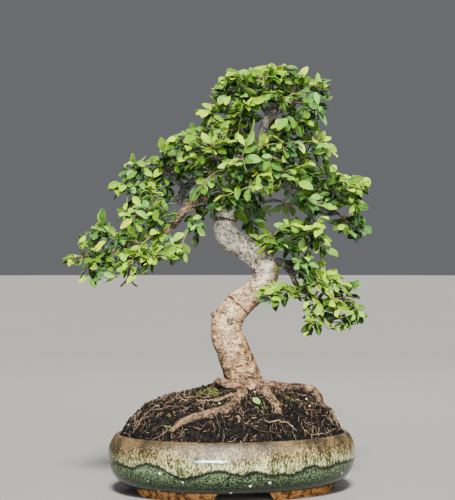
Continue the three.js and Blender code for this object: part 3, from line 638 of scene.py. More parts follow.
@dataclass(frozen=True)
class GlazeFinish:
    """Poured stoneware glaze: streaked cream over olive, a dark wavy edge, and speckled grey-green below."""

    drip: Tones = ((0.022, 0.03, 0.011), (0.12, 0.126, 0.05), (0.5, 0.5, 0.27))
    toasted: Tones = ((0.013, 0.01, 0.004), (0.062, 0.045, 0.017), (0.29, 0.22, 0.1))
    rim: Colour = (0.007, 0.004, 0.002)
    crackle: Colour = (0.125, 0.082, 0.036)
    edge: Colour = (0.003, 0.006, 0.004)
    low_pale: Colour = (0.15, 0.215, 0.11)
    low_dark: Colour = (0.0015, 0.006, 0.0025)
    foot: Colour = (0.002, 0.007, 0.0045)
    # Near-white of the painted glints dotted over the lower glaze.
    fleck: Colour = (0.75, 0.74, 0.66)
    roughness: float = 0.07

    def material(self) -> Material:
        """Returns the glaze. It reads how high each point is over the poured edge from the mesh."""
        shader = Shader("poured_glaze", specular_ior_level=0.24)
        where = shader.place()
        up = shader.part(where, "Z")
        over = shader.attribute("over_edge")
        fine = shader.noise(shader.place((1.0, 1.0, 0.33)), 0.0014, 3.0, 0.65)
        broad = shader.noise(shader.place((1.0, 1.0, 0.3)), 0.009, 3.0)
        speckle = shader.noise(where, 0.0016, 3.0, 0.7)
        cloud = shader.noise(where, 0.02, 3.0)
        # The streaks are darkened towards the pot's left end: painted shade where the light falls off.
        left = shader.between(shader.part(where, "X") * -1.0 + (broad - 0.5) * 0.04, 0.07, 0.125)
        streaks = 0.5 + (fine - 0.5) * 1.1 + (broad - 0.5) * 0.5 + (speckle - 0.5) * 0.9 + (cloud - 0.5) * 0.4
        streaks = streaks - left * 0.19
        low_streaks = shader.ramp(streaks, tuple(zip((0.35, 0.48, 0.62), self.drip)))
        high_streaks = shader.ramp(streaks, tuple(zip((0.36, 0.5, 0.68), self.toasted)))
        height = up + (cloud - 0.5) * 0.012 + (speckle - 0.5) * 0.008
        upper = shader.mix(shader.between(height, 0.034, 0.048), low_streaks, high_streaks)
        to_rim = shader.between(height, 0.049, 0.056)
        crazing = shader.noise(where, 0.0011, 3.0, 0.7)
        crazing = crazing + (speckle - 0.5) * 0.6 + (cloud - 0.5) * 0.7
        rim = shader.mix(shader.between(crazing, 0.4, 0.7), self.rim, self.crackle)
        upper = shader.mix(to_rim * 0.85, upper, rim)
        spots = 0.5 + (speckle - 0.5) * 1.9 + (cloud - 0.5) * 0.3 + (fine - 0.5) * 0.6
        lower = shader.mix(shader.between(spots, 0.3, 0.86), self.low_dark, self.low_pale)
        to_foot = shader.between(up * -1.0 + (cloud - 0.5) * 0.012, -0.028, -0.012)
        lower = shader.mix(to_foot * 0.75, lower, self.foot)
        # Small near-white dots on the lower glaze: painted glints.
        fleck = 1.0 - shader.between(shader.cells(where, 0.0145), 0.085, 0.115)
        lower = shader.mix(fleck, lower, self.fleck)
        wander = over + (broad - 0.5) * 0.004 + (fine - 0.5) * 0.0025 + (speckle - 0.5) * 0.0015
        colour = shader.mix(shader.between(wander, -0.0006, 0.0012), lower, upper)
        seam = 1.0 - shader.between(wander.size(), 0.0006, 0.0032)
        colour = shader.mix(seam * (0.7 + speckle * 0.4), colour, self.edge)
        dry = shader.between(height, 0.041, 0.051)
        rough = self.roughness + dry * 0.45 + (speckle - 0.5) * 0.1
        relief = shader.bump(fine * 0.6 + cloud + shader.between(wander, -0.002, 0.002) * 0.8, 0.0004, 0.35)
        return shader.finish(base_color=colour, roughness=rough, normal=relief)


@dataclass(frozen=True)
class ClayFinish:
    """Bare fired clay of the feet: rusty orange with dark iron specks."""

    pale: Colour = (0.6, 0.27, 0.07)
    deep: Colour = (0.06, 0.019, 0.004)
    specks: Colour = (0.008, 0.006, 0.005)

    def material(self) -> Material:
        """Returns the clay."""
        shader = Shader("bare_clay", specular_ior_level=0.06)
        where = shader.place()
        patches = shader.noise(where, 0.006, 4.0, 0.6)
        grain = shader.noise(where, 0.0009, 3.0, 0.7)
        colour = shader.mix(shader.between(patches + (grain - 0.5) * 0.5, 0.38, 0.62), self.deep, self.pale)
        colour = shader.mix(shader.between(grain + (patches - 0.5) * 0.6, 0.56, 0.64), colour, self.specks)
        return shader.finish(base_color=colour, roughness=0.72 + (grain - 0.5) * 0.3,
                             normal=shader.bump(grain, 0.0003, 0.6))


@dataclass(frozen=True)
class BarkFinish:
    """Smooth elm bark: pale grey with dark pores, warm tan patches and reddish-brown young wood, with painted
    shade on the foot, the roots, the thin branches and in the creases.
    """

    pale: Tones = ((0.04, 0.023, 0.012), (0.29, 0.195, 0.11), (0.96, 0.88, 0.68))
    grey: Tones = ((0.035, 0.032, 0.022), (0.23, 0.215, 0.155), (0.92, 0.88, 0.73))
    tan: Tones = ((0.028, 0.012, 0.005), (0.18, 0.09, 0.039), (0.7, 0.45, 0.235))
    dark: Tones = ((0.0035, 0.0018, 0.001), (0.045, 0.0235, 0.013), (0.3, 0.185, 0.11))
    # Dark grey of the thin grey branches: their grey bark with painted shade.
    shaded_grey: Tones = ((0.005, 0.005, 0.0045), (0.036, 0.035, 0.029), (0.19, 0.185, 0.155))
    pore: Colour = (0.06, 0.034, 0.02)
    scar: Colour = (0.06, 0.026, 0.015)
    moss: Colour = (0.07, 0.075, 0.03)
    stops: tuple[float, float, float] = (0.1, 0.46, 0.8)

    def material(self) -> Material:
        """Returns the bark. The mesh carries how thick and warm the wood is, its warmth on the trunk's sides
        being painted shade, and how deep its creases are.
        """
        shader = Shader("elm_bark", specular_ior_level=0.12)
        where = shader.place()
        thick = shader.attribute("thick")
        warm = shader.attribute("warm")
        crease = shader.attribute("crease")
        patches = shader.noise(where, 0.016, 4.0, 0.62)
        mottle = shader.noise(where, 0.0042, 4.0, 0.65)
        grain = shader.noise(where, 0.0012, 3.0, 0.7)
        pores = shader.cells(shader.place((1.0, 1.0, 2.2)), 0.0036)
        bands = shader.noise(shader.place((0.7, 0.7, 2.4)), 0.005, 4.0, 0.65)
        fine = (grain - 0.5) * 2.2 + (mottle - 0.5) * 1.3
        # Creases lower the tone: painted shade in the folds.
        value = fine + (bands - 0.5) * 1.0 + (patches - 0.5) * 1.5 + 0.53 - crease * 0.3
        pale, grey, tan, dark, shaded_grey = (
            shader.ramp(value, tuple(zip(self.stops, tones)))
            for tones in (self.pale, self.grey, self.tan, self.dark, self.shaded_grey)
        )
        height = shader.part(where, "Z") + (patches - 0.5) * 0.05
        colour = shader.mix(shader.between(height, 0.195, 0.235) * 0.85, pale, grey)
        # Tan follows the warm patches and the mesh's warmth, which on the trunk's sides is painted shade.
        warmth = (patches - 0.5) * 2.2 + (warm - 0.5) * 1.8 + (bands - 0.5) * 0.9 + fine * 0.4 + 0.52
        colour = shader.mix(shader.between(warmth, 0.25, 0.85) * 0.9, colour, tan)
        # The foot of the trunk and the roots are darkened towards the soil: painted shade.
        foot = 1.0 - shader.between(height + (bands - 0.5) * 0.03, 0.095, 0.15)
        colour = shader.mix(foot * 0.75, colour, dark)
        # Thin wood is darkened, grey branches to dark grey and warm ones to dark reddish brown: painted shade
        # inside the crown over their own bark.
        slight = 1.0 - shader.between(thick + (patches - 0.5) * 0.3, 0.42, 0.7)
        colour = shader.mix(slight * 0.92, colour, shader.mix(shader.between(warm, 0.38, 0.6), shaded_grey, dark))
        dots = 1.0 - shader.between(pores, 0.08, 0.2)
        dots = dots * shader.between(bands + (grain - 0.5) * 0.5, 0.45, 0.6)
        colour = shader.mix(dots * 0.55, colour, self.pore)
        # Creases and ring-scar grooves take the darker scar colour: partly the scars' own bark, partly
        # painted shade in the folds and grooves.
        colour = shader.mix(shader.between(crease + (grain - 0.5) * 0.3, 0.2, 0.95) * 0.8, colour, self.scar)
        damp = 1.0 - shader.between(height, 0.088, 0.112)
        colour = shader.mix(damp * shader.between(mottle, 0.5, 0.7) * 0.5, colour, self.moss)
        height = grain * 0.9 + bands * 0.9 + mottle * 0.8 - dots * 0.6 - crease * 0.5
        relief = shader.bump(height, 0.0018, 1.0)
        return shader.finish(base_color=colour, roughness=0.7 + (mottle - 0.5) * 0.3, normal=relief)


@dataclass(frozen=True)
class ShootFinish:
    """A young shoot: brown bark at its foot that turns pale green at its tip."""

    brown: Colour = (0.11, 0.066, 0.036)
    grey: Colour = (0.18, 0.145, 0.1)
    green: Colour = (0.2, 0.26, 0.06)

    def material(self) -> Material:
        """Returns the shoot's skin. The mesh carries how young each point is."""
        shader = Shader("young_shoot", specular_ior_level=0.12)
        where = shader.place()
        mottle = shader.noise(where, 0.0022, 3.0, 0.6)
        young = shader.attribute("young")
        woody = shader.mix(shader.between(mottle, 0.4, 0.62), self.brown, self.grey)
        colour = shader.mix(shader.between(young + (mottle - 0.5) * 0.4, 0.3, 0.85), woody, self.green)
        return shader.finish(base_color=colour, roughness=0.6 + (mottle - 0.5) * 0.2,
                             normal=shader.bump(mottle, 0.0003, 0.5))


@dataclass(frozen=True)
class LeafFinish:
    """Elm leaves: satin green above with pale veins, a rim lighter partly in its own colour and partly as a
    painted highlight of lit edges, paler and duller below.
    """

    name: str = "elm_leaf"
    cool: float = 0.75
    tones: Ramp = (
        (0.0, (0.0012, 0.007, 0.001)),
        (0.25, (0.008, 0.03, 0.0025)),
        (0.5, (0.072, 0.18, 0.009)),
        (0.75, (0.235, 0.42, 0.015)),
        (1.0, (0.46, 0.54, 0.006)),
    )
    cool_tones: Ramp = (
        (0.0, (0.0015, 0.01, 0.004)),
        (0.35, (0.008, 0.048, 0.015)),
        (0.75, (0.1, 0.35, 0.095)),
        (1.0, (0.3, 0.52, 0.06)),
    )
    vein: Colour = (0.2, 0.3, 0.05)
    under: Colour = (0.08, 0.165, 0.035)

    def material(self) -> Material:
        """Returns the leaf. The mesh carries its tone, darkened by painted shade where leaves lie over it,
        its underside and how near the rim each point is.
        """
        shader = Shader(self.name, specular_ior_level=0.07)
        where = shader.place()
        chart = shader.node("ShaderNodeUVMap", {"uv_map": "leaf"}, {})
        along = shader.part(chart, "X")
        out = shader.attribute("rim")
        tone = shader.attribute("tone")
        mottle = shader.noise(where, 0.0035, 3.0, 0.6)
        fine = shader.noise(where, 0.0008, 2.0, 0.6)
        midrib = 1.0 - shader.between(out, 0.02, 0.1)
        comb = ((along * 9.0 - out * 2.6).rest(1.0) - 0.5).size()
        veins = (1.0 - shader.between(comb, 0.02, 0.14)) * shader.between(out, 0.05, 0.2)
        # The rim and the tip are lightened: partly the blade's own paler margin, partly a painted highlight
        # of lit edges.
        rim = shader.between(out, 0.72, 1.0)
        value = tone + (mottle - 0.5) * 0.3 + rim * 0.2 - shader.between(out, 0.0, 0.5) * 0.06
        patch = shader.between(shader.noise(where, 0.028, 1.0), 0.47, 0.6)
        warm, cool = (shader.ramp(value, tones) for tones in (self.tones, self.cool_tones))
        colour = shader.mix(patch * self.cool, warm, cool)
        colour = shader.mix(midrib * 0.6 + veins * 0.2, colour, self.vein)
        below = shader.mix(midrib * 0.5 + veins * 0.3, self.under, self.vein)
        colour = shader.mix(shader.attribute("below") * 0.8, colour, below)
        relief = shader.bump(fine * 0.3 - midrib * 1.0 - veins * 0.7, 0.0003, 0.5)
        return shader.finish(base_color=colour, roughness=0.4 + (mottle - 0.5) * 0.3, normal=relief)


@dataclass(frozen=True)
class SoilFinish:
    """Damp potting soil: dark brown humus with lighter fibre and a few mineral specks."""

    dark: Colour = (0.0012, 0.0011, 0.0012)
    brown: Colour = (0.01, 0.0073, 0.0056)
    rusty: Colour = (0.045, 0.027, 0.016)
    fleck: Colour = (0.2, 0.16, 0.1)

    def material(self) -> Material:
        """Returns the soil."""
        shader = Shader("potting_soil", specular_ior_level=0.05)
        where = shader.place()
        clumps = shader.noise(where, 0.007, 4.0, 0.65)
        crumbs = shader.cells(where, 0.0022)
        grain = shader.noise(where, 0.0009, 3.0, 0.7)
        raised = shader.attribute("raised")
        value = raised + (clumps - 0.5) * 1.0 + (grain - 0.5) * 1.4
        colour = shader.mix(shader.between(value, 0.3, 0.95), self.dark, self.brown)
        colour = shader.mix(shader.between(grain + (clumps - 0.5) * 0.6, 0.62, 0.78), colour, self.rusty)
        colour = shader.mix(shader.between(shader.noise(where, 0.0019, 1.0), 0.72, 0.78), colour, self.fleck)
        relief = shader.bump(crumbs * -1.0 + grain * 0.6 + clumps, 0.0012, 0.9)
        return shader.finish(base_color=colour, roughness=0.9 + (grain - 0.5) * 0.2, normal=relief)


@dataclass(frozen=True)
class GrainFinish:
    """Loose crumbs, fibre and grit: one ramp from black humus to pale grit, read from the mesh."""

    tones: Ramp = (
        (0.0, (0.0022, 0.0018, 0.0013)),
        (0.3, (0.017, 0.013, 0.009)),
        (0.6, (0.075, 0.047, 0.028)),
        (0.8, (0.28, 0.2, 0.13)),
        (1.0, (0.62, 0.55, 0.4)),
    )

    def material(self) -> Material:
        """Returns the grains' material."""
        shader = Shader("soil_grains", specular_ior_level=0.06)
        where = shader.place()
        grain = shader.noise(where, 0.0008, 3.0, 0.7)
        colour = shader.ramp(shader.attribute("tone") + (grain - 0.5) * 0.3, self.tones)
        return shader.finish(base_color=colour, roughness=0.85 + (grain - 0.5) * 0.2,
                             normal=shader.bump(grain, 0.0004, 0.8))


@dataclass(frozen=True)
class RootletFinish:
    """Fine roots: reddish brown, with straw-coloured stretches."""

    brown: Colour = (0.022, 0.011, 0.007)
    straw: Colour = (0.36, 0.265, 0.18)

    def material(self) -> Material:
        """Returns the fine roots' material."""
        shader = Shader("fine_roots", specular_ior_level=0.1)
        where = shader.place()
        patches = shader.noise(where, 0.006, 3.0, 0.6)
        grain = shader.noise(where, 0.0008, 3.0, 0.7)
        value = shader.attribute("tone") + (patches - 0.5) * 0.8 + (grain - 0.5) * 0.4
        colour = shader.mix(shader.between(value, 0.2, 0.9), self.brown, self.straw)
        return shader.finish(base_color=colour, roughness=0.75 + (grain - 0.5) * 0.2,
                             normal=shader.bump(grain, 0.0003, 0.7))


@dataclass(frozen=True)
class MossFinish:
    """Moss: yellow-green tips over dark green."""

    dark: Colour = (0.01, 0.018, 0.003)
    bright: Colour = (0.15, 0.18, 0.018)

    def material(self) -> Material:
        """Returns the moss. The mesh carries how near its tip each point is."""
        shader = Shader("moss", specular_ior_level=0.2)
        grain = shader.noise(shader.place(), 0.001, 3.0, 0.7)
        value = shader.attribute("tone") + (grain - 0.5) * 0.6
        colour = shader.mix(shader.between(value, 0.1, 0.9), self.dark, self.bright)
        return shader.finish(base_color=colour, roughness=0.85 + (grain - 0.5) * 0.1)


@dataclass(frozen=True)
class ScreenFinish:
    """Moulded green-black plastic of the drain screens, dusted with soil."""

    plastic: Colour = (0.011, 0.021, 0.013)
    dust: Colour = (0.042, 0.028, 0.019)

    def material(self) -> Material:
        """Returns the plastic."""
        shader = Shader("mesh_plastic", specular_ior_level=0.45)
        where = shader.place()
        dusty = shader.noise(where, 0.004, 4.0, 0.65)
        grain = shader.noise(where, 0.0005, 2.0, 0.6)
        cover = shader.between(dusty, 0.48, 0.7)
        colour = shader.mix(cover * 0.7, self.plastic, self.dust)
        return shader.finish(base_color=colour, roughness=0.42 + cover * 0.4,
                             normal=shader.bump(grain + cover, 0.0002, 0.5))


@dataclass(frozen=True)
class FloorFinish:
    """A plain pale floor."""

    colour: Colour = (0.2, 0.198, 0.194)

    def material(self) -> Material:
        """Returns the floor's material."""
        shader = Shader("pale_floor", specular_ior_level=0.05, roughness=0.75)
        faint = shader.noise(shader.place(), 0.4, 2.0)
        darker = tuple(0.97 * part for part in self.colour)
        return shader.finish(base_color=shader.mix(faint, self.colour, darker))


def mesh_of(name: str, bm: BMesh) -> Mesh:
    """Turns a shape into a mesh of a name, and frees the shape.

    Args:
        name: The mesh's name.
        bm: The shape, which is freed.

    Returns:
        The mesh.
    """
    mesh = bpy.data.meshes.new(name)
    bm.to_mesh(mesh)
    bm.free()
    return mesh


def linked(name: str, data: bpy.types.ID) -> bpy.types.Object:
    """Returns an object of a name, linked into the scene.

    Args:
        name: The object's name.
        data: Its mesh or other data.

    Returns:
        The object.
    """
    thing = bpy.data.objects.new(name, data)
    bpy.context.scene.collection.objects.link(thing)
    return thing


def add_piece(
    name: str, shape: Union[BMesh, Mesh], placing: Matrix, materials: Sequence[Material],
    nodes: Iterable[str] = (),
) -> None:
    """Puts a finished shape into the scene as a piece of the plant, at the origin.

    Args:
        name: The piece's name.
        shape: Its mesh, drawn in millimetres.
        placing: Takes millimetres to the frame's metres.
        materials: Its materials, in the order of its faces' material numbers.
        nodes: The frame's nodes that it stands for.
    """
    mesh = mesh_of(name, shape) if isinstance(shape, BMesh) else shape
    mesh.name = name
    mesh.transform(placing)
    for material in materials:
        mesh.materials.append(material)
    piece = linked(name, mesh)
    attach(piece, "root")
    if nodes:
        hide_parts(*nodes)
    mesh.calc_loop_triangles()
    LOG.info("%s: %d triangles", name, len(mesh.loop_triangles))


def settled(mesh: Mesh, modifiers: Sequence[tuple[str, dict]]) -> Mesh:
    """Runs modifiers on a mesh and keeps their result in its stead.

    Args:
        mesh: The mesh to start from.
        modifiers: Each modifier's type and settings, in order.

    Returns:
        The mesh after the modifiers.
    """
    holder = linked(mesh.name, mesh)
    for kind, settings in modifiers:
        modifier = holder.modifiers.new(kind.lower(), kind)
        for key, value in settings.items():
            setattr(modifier, key, value)
    depsgraph = bpy.context.evaluated_depsgraph_get()
    result = bpy.data.meshes.new_from_object(holder.evaluated_get(depsgraph))
    bpy.data.objects.remove(holder)
    bpy.data.meshes.remove(mesh)
    return result


def cut_from(mesh: Mesh, cutters: Sequence[BMesh]) -> Mesh:
    """Cuts solids out of a closed mesh.

    Args:
        mesh: The mesh that is cut.
        cutters: The closed shapes that are taken away.

    Returns:
        The cut mesh.
    """
    for cutter in cutters:
        body = mesh_of("cutter", cutter)
        tool = linked("cutter", body)
        mesh = settled(mesh, [("BOOLEAN", {"operation": "DIFFERENCE", "solver": "EXACT", "object": tool})])
        bpy.data.objects.remove(tool)
        bpy.data.meshes.remove(body)
    return mesh


def smooth_all(bm: BMesh) -> None:
    """Shades every face of a shape smoothly."""
    for face in bm.faces:
        face.smooth = True


Relief = Callable[[int, Vector, Vector], tuple[float, float, float]]


def grow_tube(
    bm: BMesh, centres: Sequence[np.ndarray], radii: Sequence[float], sides: int,
    carries: dict[str, Sequence[float]], relief: Union[Relief, None] = None, material: int = 0,
) -> None:
    """Extrudes a closed tube of round section along points, and adds it to a mesh.

    Args:
        bm: The mesh that it is added to.
        centres: At least two points.
        radii: The radius at each point.
        sides: How many sides its section has.
        carries: The numbers that its vertices carry, by layer, with one value for each point.
        relief: Takes a point's number, the way out and the place, and gives what to add, how creased it is
        and how much warmer its bark is made, which on the trunk's sides is painted shade.
        material: The material number of its faces.
    """
    tube = bmesh.new()
    for name in (*carries, "crease") if relief else carries:
        tube.verts.layers.float.new(name)
    layers = {name: tube.verts.layers.float[name] for name in carries}
    crease = tube.verts.layers.float["crease"] if relief else None
    made = bmesh.ops.create_cone(
        tube, cap_ends=True, cap_tris=False, segments=sides, radius1=1.0, radius2=1.0, depth=2.0,
    )["verts"]
    top = next(face for face in tube.faces if all(vert.co.z > 0 for vert in face.verts))
    bottom = [vert for vert in made if vert.co.z < 0]
    low_round = [(vert.co.x, vert.co.y) for vert in bottom]
    high_round = [(vert.co.x, vert.co.y) for vert in top.verts]
    points = [Vector(centre) for centre in centres]
    last = len(points) - 1
    across = Vector(ASLANT)
    for index, centre in enumerate(points):
        ahead = (points[min(index + 1, last)] - points[max(index - 1, 0)]).normalized()
        across = (across - ahead * across.dot(ahead)).normalized()
        up = ahead.cross(across)
        if index > 1:
            top = bmesh.ops.extrude_discrete_faces(tube, faces=[top])["faces"][0]
        ring = zip(bottom, low_round) if index == 0 else zip(top.verts, high_round)
        for vert, (right, back) in ring:
            out = across * right + up * back
            reach = radii[index]
            for name, layer in layers.items():
                vert[layer] = carries[name][index]
            if relief:
                height, vert[crease], warmer = relief(index, out, centre + out * reach)
                reach += height
                vert[layers["warm"]] += warmer
            vert.co = centre + out * reach
    for face in tube.faces:
        face.smooth = True
        face.material_index = material
    mesh = mesh_of("tube", tube)
    bm.from_mesh(mesh)
    bpy.data.meshes.remove(mesh)


def numbers_on(mesh: Mesh, name: str, values: np.ndarray) -> None:
    """Writes a number for each vertex as an attribute of a name."""
    layer = mesh.attributes.get(name) or mesh.attributes.new(name, "FLOAT", "POINT")
    layer.data.foreach_set("value", np.asarray(values, np.float32))


def places_of(mesh: Mesh) -> np.ndarray:
    """Returns the places of a mesh's vertices, one row for each.

    Args:
        mesh: The mesh.

    Returns:
        One row for each vertex.
    """
    places = np.empty(3 * len(mesh.vertices), np.float32)
    mesh.vertices.foreach_get("co", places)
    return places.reshape(-1, 3).astype(float)


def put_places(mesh: Mesh, places: np.ndarray) -> None:
    """Moves a mesh's vertices to new places, one row for each."""
    mesh.vertices.foreach_set("co", places.astype(np.float32).ravel())
    mesh.update()


@dataclass(frozen=True)
class Box:
    """A turned box that stands in for a leaf or a twig: its middle, its three axes and half its size."""

    centre: np.ndarray
    axes: np.ndarray
    half: np.ndarray

    @classmethod
    def along(cls, start: np.ndarray, end: np.ndarray, radius: float) -> "Box":
        """Returns the box of a straight round piece between two points.

        Args:
            start: Where the piece starts.
            end: Where it ends.
            radius: Its radius.

        Returns:
            The box.
        """
        axis = unit(end - start)
        side = np.array(ASLANT)
        side = unit(side - axis * side.dot(axis))
        half = np.array([0.5 * np.linalg.norm(end - start), radius, radius])
        return cls(0.5 * (start + end), np.array([axis, side, cross(axis, side)]), half)


class Kind(Enum):
    """What a box in the foliage stands in for."""

    WOOD = 0
    TWIG = 1
    WHOLE_LEAF = 2
    OUTER_LEAF = 3


@dataclass
class Canopy:
    """All the boxes that a new leaf must keep clear of."""

    count: int = 0
    centres: np.ndarray = field(default_factory=lambda: np.zeros((ROOM, 3)))
    axes: np.ndarray = field(default_factory=lambda: np.zeros((ROOM, 3, 3)))
    halves: np.ndarray = field(default_factory=lambda: np.zeros((ROOM, 3)))
    reaches: np.ndarray = field(default_factory=lambda: np.zeros(ROOM))
    kinds: np.ndarray = field(default_factory=lambda: np.zeros(ROOM, int))
    owners: np.ndarray = field(default_factory=lambda: np.zeros(ROOM, int))

    def add(self, box: Box, kind: Kind, owner: int = -1) -> None:
        """Adds a box of a kind, owned by a shoot.

        Args:
            box: The box.
            kind: What it stands for.
            owner: The number of the spray that it belongs to, or -1.
        """
        row = self.count
        self.centres[row] = box.centre
        self.axes[row] = box.axes
        self.halves[row] = box.half
        self.reaches[row] = np.linalg.norm(box.half)
        self.kinds[row] = kind.value
        self.owners[row] = owner
        self.count += 1

    def is_kind(self, *kinds: Kind) -> np.ndarray:
        """Returns which boxes are of any of the kinds."""
        return np.isin(self.kinds[: self.count], [kind.value for kind in kinds])

    def owned(self, owner: int) -> np.ndarray:
        """Returns which boxes belong to a shoot."""
        return self.owners[: self.count] == owner

    def hits(self, box: Box, among: np.ndarray) -> bool:
        """Says whether a box crosses any of the chosen ones, by the fifteen separating axes of two boxes.

        Args:
            box: The new box.
            among: Which of the boxes count.

        Returns:
            Whether it crosses one.
        """
        apart = np.linalg.norm(self.centres[: self.count] - box.centre, axis=1)
        reach = np.linalg.norm(box.half) + self.reaches[: self.count]
        near = np.flatnonzero(among & (apart <= reach))
        if not len(near):
            return False
        between = self.centres[near] - box.centre
        half = self.halves[near]
        turn = np.einsum("ij,nkj->nik", box.axes, self.axes[near])
        size = np.abs(turn)
        own = between @ box.axes.T
        other = np.einsum("nj,nkj->nk", between, self.axes[near])
        clear = (np.abs(own) > box.half + np.einsum("nik,nk->ni", size, half)).any(axis=1)
        clear |= (np.abs(other) > half + np.einsum("nik,i->nk", size, box.half)).any(axis=1)
        for i in range(3):
            j, k = (i + 1) % 3, (i + 2) % 3
            for m in range(3):
                p, q = (m + 1) % 3, (m + 2) % 3
                gap = np.abs(own[:, k] * turn[:, j, m] - own[:, j] * turn[:, k, m])
                room = (box.half[j] * size[:, k, m] + box.half[k] * size[:, j, m]
                        + half[:, p] * size[:, i, q] + half[:, q] * size[:, i, p])
                slanted = 1 - turn[:, i, m] ** 2 >= 1e-8
                clear |= slanted & (gap > room)
        return not clear.all()


@dataclass
class Leaf:
    """One leaf: where it starts, the way it points, the way its face looks, its size and its colour."""

    base: np.ndarray
    along: np.ndarray
    normal: np.ndarray
    length: float
    width: float
    droop: float
    tone: float = 0.5
    fold: float = 0.25
    frame_fold: ClassVar[float] = 0.25

    def side(self) -> np.ndarray:
        """Returns the way across the leaf."""
        return unit(cross(self.along, self.normal))

    def marks(self) -> np.ndarray:
        """Returns a few places on the leaf: two along its middle, its tip and its two sides."""
        low, middle, tip = (self.base + self.along * (share * self.length) for share in (0.3, 0.55, 0.95))
        side = self.side() * (0.4 * self.width)
        return np.array([low, middle, tip, middle - side, middle + side])

    def box(self, start: float, thickness: float = 0.65, slack: float = 1.0) -> Box:
        """Returns the box of the leaf.

        Args:
            start: The share of its length that is left out at its base.
            thickness: How thick the blade counts.
            slack: How much of its width counts.

        Returns:
            The box.
        """
        rise = 0.5 * self.width * math.sin(self.frame_fold)
        drop = self.droop * self.length
        centre = (self.base + self.along * (0.5 * (1 + start) * self.length)
                  + self.normal * (0.5 * (rise - drop)))
        half = [0.5 * (1 - start) * self.length, 0.5 * slack * self.width, 0.5 * (rise + drop + thickness)]
        return Box(centre, np.array([self.along, self.side(), self.normal]), np.array(half))


@dataclass
class Twig:
    """A twig or shoot: its stem on the tree, the points that carry leaves, and its direction at the neck."""

    stem: list[np.ndarray]
    points: list[np.ndarray]
    ahead: np.ndarray
    least_neck: ClassVar[float] = 8
    long_neck: ClassVar[float] = 22
    nudge: ClassVar[float] = 1e-4

    @classmethod
    def laid(cls, foot: np.ndarray, tip: np.ndarray, reach: float, rise: float) -> "Twig":
        """Lays a twig from its foot to its tip, arched up a little.

        Args:
            foot: Where it starts.
            tip: Where it ends.
            reach: How much of it carries leaves, or 0 for all of it.
            rise: How high its middle control point is lifted, as a share of its length.

        Returns:
            The twig.
        """
        length = float(np.linalg.norm(tip - foot))
        middle = 0.5 * (foot + tip) + np.array([0, 0, rise * length])

        def bend(share: float) -> np.ndarray:
            """Returns a point of the arch."""
            return (1 - share) ** 2 * foot + 2 * (1 - share) * share * middle + share ** 2 * tip

        neck = max(cls.least_neck / length, 1 - reach / length) if reach else 0.0
        stem = [0, neck / 2, neck] if neck * length > cls.long_neck else [0, neck]
        ahead = unit(bend(min(neck + cls.nudge, 1)) - bend(max(neck - cls.nudge, 0)))
        points = [bend(neck + (1 - neck) * share) for share in (0, 0.5, 1)]
        return cls([bend(share) for share in stem], points, ahead)

    def place(self, share: float) -> tuple[np.ndarray, np.ndarray]:
        """Returns the point at a share of the twig, and the way it heads there.

        Args:
            share: How far along the twig, from 0 to 1.

        Returns:
            The point and the direction.
        """
        place = share * (len(self.points) - 1)
        row = min(int(place), len(self.points) - 2)
        start, end = self.points[row], self.points[row + 1]
        return start + (end - start) * (place - row), unit(end - start)

    def boxes(self, radius: float) -> list[Box]:
        """Returns a box for each stretch."""
        return [Box.along(start, end, radius) for start, end in zip(self.points, self.points[1:])]


@dataclass
class Spray:
    """One leafy spray: its twig and side shoot as the frame has them, and the finer shoots added to it."""

    index: int
    twigs: list[Twig]
    look: np.ndarray
    dice: Dice
    leaves: list[Leaf] = field(default_factory=list)
    shoots: list[Twig] = field(default_factory=list)

    def is_young(self) -> bool:
        """Says whether the spray has young and brighter leaves, as every third one has."""
        return self.index % 3 == 0


@dataclass
class Outline:
    """The crown as the photograph shows it: where leaves are wanted, and where they would hide the wood."""

    wanted: np.ndarray
    clear_before: np.ndarray
    covered: np.ndarray
    nearest: ClassVar[float] = -1000.0

    @classmethod
    def traced(cls) -> "Outline":
        """Returns the outline drawn from its corners."""
        wanted = np.zeros((VIEW.height, VIEW.width), bool)
        for corners in FOLIAGE_OUTLINE:
            wanted |= cls.filled(corners)
        clear_before = np.full(wanted.shape, cls.nearest)
        for back, corners in OPENINGS:
            clear_before[cls.filled(corners)] = back
        return cls(wanted, clear_before, ~wanted | (clear_before > cls.nearest))

    @staticmethod
    def filled(corners: Sequence[Pair]) -> np.ndarray:
        """Returns which pixels lie within a closed line of corners.

        Args:
            corners: The corners, each a column and a row.

        Returns:
            True for each pixel that lies within.
        """
        rows, columns = np.mgrid[0:VIEW.height, 0:VIEW.width] + 0.5
        inside = np.zeros(rows.shape, bool)
        for (x, y), (next_x, next_y) in zip(corners, (*corners[1:], corners[0])):
            if y != next_y:
                crosses = (y > rows) != (next_y > rows)
                inside ^= crosses & (columns < x + (rows - y) * (next_x - x) / (next_y - y))
        return inside

    def allows(self, leaf: "Leaf") -> bool:
        """Says whether a leaf keeps within the outline and in front of no opening.

        Args:
            leaf: The leaf.

        Returns:
            True where it does.
        """
        places = leaf.marks()
        columns, rows = VIEW.pixels(places).T
        if not self.wanted[rows, columns].all():
            return False
        return bool((places[:, 1] > self.clear_before[rows, columns]).all())

    def cover(self, leaves: Sequence["Leaf"]) -> None:
        """Notes which pixels leaves cover."""
        for leaf in leaves:
            for column, row in VIEW.pixels(leaf.marks()):
                self.covered[row - 1: row + 3, column - 1: column + 3] = True

    def gap(self, dice: Dice) -> Union[tuple[int, int], None]:
        """Draws a pixel, (column, row), that no leaf covers yet, or None where all are covered.

        Args:
            dice: What the draw is made with.

        Returns:
            The column and the row, or None where all are covered.
        """
        rows, columns = np.nonzero(~self.covered)
        if not len(rows):
            return None
        pick = int(dice.next() * len(rows))
        return int(columns[pick]), int(rows[pick])


